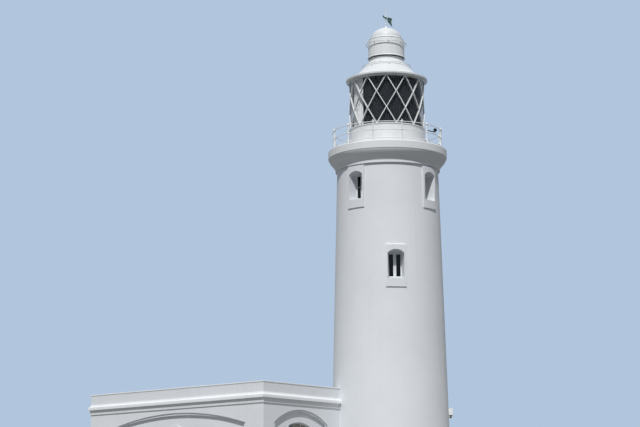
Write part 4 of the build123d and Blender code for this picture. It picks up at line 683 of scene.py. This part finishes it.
# Raised bands on the first step of each blind arch: the section is insets from the arris and depths
LONG_ARCH_HALF, SHORT_ARCH_HALF = 5.35, 2.2
BAND_SECTION = ((0, 0.054), (0.10, 0.050), (0.126, 0.052), (0.136, 0.062), (0.136, 0.086), (0, 0.086))
ARCHES = [(AXIS, -ANNEX_SOUTH, ANNEX_MIDDLE, LONG_ARCH_HALF)]
ARCHES += [(*face, SHORT_ARCH_HALF) for face in ANNEX_FACES]
bm = bmesh.new()
for turn, distance, centre, half in ARCHES:
    face = turn @ Matrix.Translation((centre, -distance, 0))
    loops = []
    for inset, depth in BAND_SECTION:
        loops.append([bm.verts.new(face @ Vector((x, depth, z))) for x, z in arch_edge(half, inset)])
    skin(bm, loops)
piece("annex_arch_bands", bm, wall_white, sharp=28)

# Ventilator: a skirt at the dome's foot, the packing under it, and the screen in the slot under the drum
SKIRT = [
    (0.895, 25.290), (0.906, 25.288), (0.940, 25.256), (0.988, 25.216), (0.997, 25.204), (0.895, 25.203),
]
SHADE_PACKING = [(0.900, 25.160), (1.006, 25.160), (1.012, 25.164), (0.993, 25.204), (0.900, 25.204)]
SHADE_SCREEN_BACK = [(0.986, 24.046), (0.996, 24.048), (0.996, 24.102), (0.986, 24.104)]
SHADE_SCREEN_BARS, SHADE_SCREEN_RADIUS, SHADE_SCREEN_LEVEL = 60, 0.998, 24.075
bm = bmesh.new()
hoop(bm, AXIS, SKIRT)
piece("dome_skirt", bm, cowl_white, sharp=50)
# Painted shade: the packing and the screen are near-black to stand for the shadow in the gap under the
# skirt and in the slot under the drum.
bm = bmesh.new()
hoop(bm, AXIS, SHADE_PACKING)
hoop(bm, AXIS, SHADE_SCREEN_BACK)
for i in range(SHADE_SCREEN_BARS):
    block(bm, at(360 / SHADE_SCREEN_BARS * i, SHADE_SCREEN_RADIUS, SHADE_SCREEN_LEVEL), 0.008, 0.008, 0.052)
piece("ventilator_shade_screen", bm, dark_iron)

# Wall lamp: a glass bowl over its foot, in a wire guard
WALL_LAMP_AZIMUTH, WALL_LAMP_LEVEL = 130, 3.4
WALL_LAMP_REACH = 0.105
LAMP_BOWL = [(0.104, 0.0), (0.104, -0.04), (0.100, -0.10), (0.080, -0.145), (0.045, -0.165), (0, -0.17)]
lamp_radius = shaft_radius(WALL_LAMP_LEVEL) + WALL_LAMP_REACH
lamp = at(WALL_LAMP_AZIMUTH, lamp_radius, WALL_LAMP_LEVEL)
bm = bmesh.new()
lathe(bm, lamp, LAMP_BOWL, 28)
piece("wall_lamp_bowl", bm, dark_iron, sharp=60)
bm = bmesh.new()
for level, radius in ((-0.02, 0.110), (-0.085, 0.108)):
    guard_ring = [(radius, -0.005), (radius + 0.004, 0), (radius, 0.005)]
    lathe(bm, lamp @ Matrix.Translation((0, 0, level)), guard_ring, 28)
piece("wall_lamp_guard", bm, iron_white)

# Side lamp on its stanchion: lens band, guard rings and bars, and a clip round the arm's root
SIDE_LAMP_REACH, SIDE_LAMP_LEVEL = 0.69, 0.75
CLIP_BACK = 0.64  # from the lamp's middle to the clip on its arm
LAMP_LENS = [(0.091, 0.080), (0.094, 0.086), (0.094, 0.164), (0.091, 0.170)]
GUARD_RING = [(0.089, -0.008), (0.100, -0.006), (0.100, 0.006), (0.089, 0.008)]
CLIP = [(0.028, -0.03), (0.036, -0.026), (0.036, 0.026), (0.028, 0.03)]
stanchion = Matrix.Rotation(radians(STANCHION_TURN + 2 * 360 / STANCHIONS), 4, "Z")
head = stanchion @ Matrix.Translation((SIDE_LAMP_REACH, -RAILING_RADIUS, DECK + SIDE_LAMP_LEVEL))
bm = bmesh.new()
lathe(bm, head, LAMP_LENS, 32)
piece("side_lamp_lens", bm, window_glass)
bm = bmesh.new()
for level in (0.072, 0.178):
    lathe(bm, head @ Matrix.Translation((0, 0, level)), GUARD_RING, 32)
for k in range(6):
    bar = head @ Matrix.Rotation(radians(60 * k), 4, "Z") @ Matrix.Translation((0.098, 0, 0.125))
    block(bm, bar, 0.007, 0.007, 0.10)
clip = head @ Matrix.Translation((-CLIP_BACK, 0, 0)) @ Matrix.Rotation(radians(90), 4, "Y")
lathe(bm, clip, CLIP, 24)
piece("side_lamp_guard", bm, lamp_black)

# Vane: ribs on the tail, a ball on the arm and a bead over and under the hub
VANE_LEVEL = 26.56
TAIL_TURN = 17
BALL = [(0, 0), (0.026, 0.008), (0.045, 0.045), (0.026, 0.082), (0, 0.09)]
HUB_BEAD = [(0.0465, -0.008), (0.053, -0.004), (0.053, 0.004), (0.0465, 0.008)]
tail = Matrix.Rotation(radians(TAIL_TURN), 4, "Z") @ Matrix.Translation((0, 0, VANE_LEVEL))
bm = bmesh.new()
for side in (-1, 1):
    for z in (-0.10, 0.0, 0.10):
        rib = tail @ Matrix.Translation((side * 0.009, 0.60 - 0.6 * abs(z), z * 1.1))
        block(bm, rib, 0.006, 0.50, 0.022)
lathe(bm, tail @ Matrix.Translation((0, -0.20, -0.045)), BALL, 20)
for z in (0.062, -0.062):
    lathe(bm, tail @ Matrix.Translation((0, 0, z)), HUB_BEAD, 28)
piece("vane_trim", bm, vane_green, body=VANE, bevel=0.0015)

# Blinds inside the glazing. The dark blind is drawn round the rest of the glazing, and its near-black
# colour is painted shade for the dark inside of the lantern.
CURTAIN_RADIUS = 1.960
CURTAIN_TOP, CURTAIN_LOW = GLAZING_TOP - 0.002, LATTICE_LOW + 0.012


def curtain(name, start_azimuth, end_azimuth, folds, material, node, seed):
    """A gathered blind hung from the lantern's head ring, drawn along the inside of the glazing. Its
    folds drift a little sideways, differ in depth and open out towards the hem."""
    first, span = radians(start_azimuth), radians(end_azimuth - start_azimuth)
    across, down = folds * 14, 16
    bm = bmesh.new()
    rows = []
    for j in range(down + 1):
        share = j / down
        level = CURTAIN_TOP + (CURTAIN_LOW - CURTAIN_TOP) * share
        row = []
        for i in range(across + 1):
            u = i / across
            drift = 0.8 * noise.noise(Vector((7.0 * u * folds / 10, 0.7 * share, seed)))
            phase = 2 * pi * folds * u + drift
            uneven = 1 + 0.35 * noise.noise(Vector((23.0 * u, 1.3 * share, seed + 4)))
            depth = (0.014 + 0.010 * share) * uneven
            angle = first + span * u + 0.0012 * sin(2 * phase)
            r = CURTAIN_RADIUS + depth * sin(phase)
            row.append(bm.verts.new((r * sin(angle), -r * cos(angle), level)))
        rows.append(row)
    for a, b in zip(rows, rows[1:]):
        for i in range(across):
            bm.faces.new([a[i], b[i], b[i + 1], a[i + 1]])
    obj = piece(name, bm, material, sharp=180)
    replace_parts(obj, node)


curtain("white_curtain", -36.8, -5.4, 7, white_cloth, "white_blind", 3.0)
curtain("dark_curtain_painted_shade", -5.4, 323.2, 66, dark_cloth_painted_shade, "dark_blind", 9.0)


# Stage: a pale round floor, a pale surround and one soft sun
FLOOR_RADIUS, FLOOR_LEVEL = 36.0, -0.004
FLOOR_SHOWN = ((0.52, 0.56, 0.60), (0.55, 0.59, 0.63))
FLOOR_LIGHTING = (0.20, 0.20, 0.19)
SURROUND = (0.44, 0.56, 0.72)
SKY_COLOUR = (0.95, 0.99, 1.05)
SKY, GROUND_GLOW = 0.34, 0.06
HORIZON = 0.04  # how far over and under the level the sky fades into the ground's glow
SUN, SUN_COLOUR, SUN_WIDTH = 3.1, (1.0, 0.995, 0.985), 1.2
SUN_AZIMUTH, SUN_HEIGHT = 33.2, 53


def seen_directly(nodes, links):
    """1 for a ray from the camera, off a mirror or through glass, and 0 for one that lights a surface."""
    path = nodes.new("ShaderNodeLightPath")
    total = path.outputs["Is Camera Ray"]
    for kind in ("Is Glossy Ray", "Is Transmission Ray"):
        either = nodes.new("ShaderNodeMath")
        either.operation = "MAXIMUM"
        links.new(total, either.inputs[0])
        links.new(path.outputs[kind], either.inputs[1])
        total = either.outputs[0]
    return total


bm = bmesh.new()
bmesh.ops.create_circle(bm, cap_ends=True, segments=128, radius=FLOOR_RADIUS)
mesh = bpy.data.meshes.new("floor")
bm.to_mesh(mesh)
bm.free()
floor = bpy.data.objects.new("floor", mesh)
bpy.context.scene.collection.objects.link(floor)
floor.location = (0, 0, FLOOR_LEVEL)
ground = Shader("floor_pale")
pale_tone = ground.mix(ground.span(ground.noise(0.2, 3.0), 0.3, 0.7), *FLOOR_SHOWN)
floor_tone = ground.mix(seen_directly(ground.nodes, ground.links), FLOOR_LIGHTING, pale_tone)
ground.put(ground.surface.inputs["Base Color"], floor_tone)
ground.put(ground.surface.inputs["Roughness"], 0.95)
mesh.materials.append(ground.material)

world = bpy.data.worlds.new("surround")
bpy.context.scene.world = world
world.use_nodes = True
tree = world.node_tree
tree.nodes.clear()
shown = tree.nodes.new("ShaderNodeBackground")
shown.inputs["Color"].default_value = (*SURROUND, 1.0)
light = tree.nodes.new("ShaderNodeBackground")
light.inputs["Color"].default_value = (*SKY_COLOUR, 1.0)
direction = tree.nodes.new("ShaderNodeTexCoord")
split = tree.nodes.new("ShaderNodeSeparateXYZ")
tree.links.new(direction.outputs["Generated"], split.inputs[0])
horizon = tree.nodes.new("ShaderNodeMapRange")
tree.links.new(split.outputs["Z"], horizon.inputs["Value"])
glow = {"From Min": -HORIZON, "From Max": HORIZON, "To Min": GROUND_GLOW, "To Max": SKY}
for key, number in glow.items():
    horizon.inputs[key].default_value = number
tree.links.new(horizon.outputs["Result"], light.inputs["Strength"])
choice = tree.nodes.new("ShaderNodeMixShader")
tree.links.new(seen_directly(tree.nodes, tree.links), choice.inputs["Fac"])
tree.links.new(light.outputs["Background"], choice.inputs[1])
tree.links.new(shown.outputs["Background"], choice.inputs[2])
out = tree.nodes.new("ShaderNodeOutputWorld")
tree.links.new(choice.outputs["Shader"], out.inputs["Surface"])

azimuth, height = radians(SUN_AZIMUTH), radians(SUN_HEIGHT)
toward = Vector((sin(azimuth) * cos(height), -cos(azimuth) * cos(height), sin(height)))
lamp_data = bpy.data.lights.new("sun", "SUN")
lamp_data.energy = SUN
lamp_data.angle = radians(SUN_WIDTH)
lamp_data.color = SUN_COLOUR
sun = bpy.data.objects.new("sun", lamp_data)
sun.rotation_mode = "QUATERNION"
sun.rotation_quaternion = toward.to_track_quat("Z", "Y")
bpy.context.scene.collection.objects.link(sun)

# Camera at the photograph's place: the direction of the tower's axis from it, and its tilts from there
CAMERA_PLACE = (65.22, -82.82, -4.51)
AROUND, PITCH, YAW, ROLL = radians(38.22), radians(10.476), radians(-2.124), radians(0.29)
FOCAL_LENGTH, SENSOR = 105.08, 36.0
right = Vector((cos(AROUND), sin(AROUND), 0))
ahead = Vector((-sin(AROUND), cos(AROUND), 0))
level_ahead = ahead * cos(YAW) + right * sin(YAW)
level_right = right * cos(YAW) - ahead * sin(YAW)
line_of_sight = level_ahead * cos(PITCH) + Vector((0, 0, sin(PITCH)))
up = Vector((0, 0, cos(PITCH))) - level_ahead * sin(PITCH)
camera_right = level_right * cos(ROLL) - up * sin(ROLL)
camera_up = up * cos(ROLL) + level_right * sin(ROLL)
camera_data = bpy.data.cameras.new("photo_view")
camera_data.sensor_width = SENSOR
camera_data.lens = FOCAL_LENGTH
camera_data.clip_start = 1.0
camera_data.clip_end = 2000.0
camera = bpy.data.objects.new("photo_view", camera_data)
turned = Matrix((camera_right, camera_up, -line_of_sight)).transposed().to_4x4()
camera.matrix_world = Matrix.Translation(CAMERA_PLACE) @ turned
bpy.context.scene.collection.objects.link(camera)
bpy.context.scene.camera = camera
bpy.context.scene.view_settings.view_transform = "Standard"

bpy.context.view_layer.update()
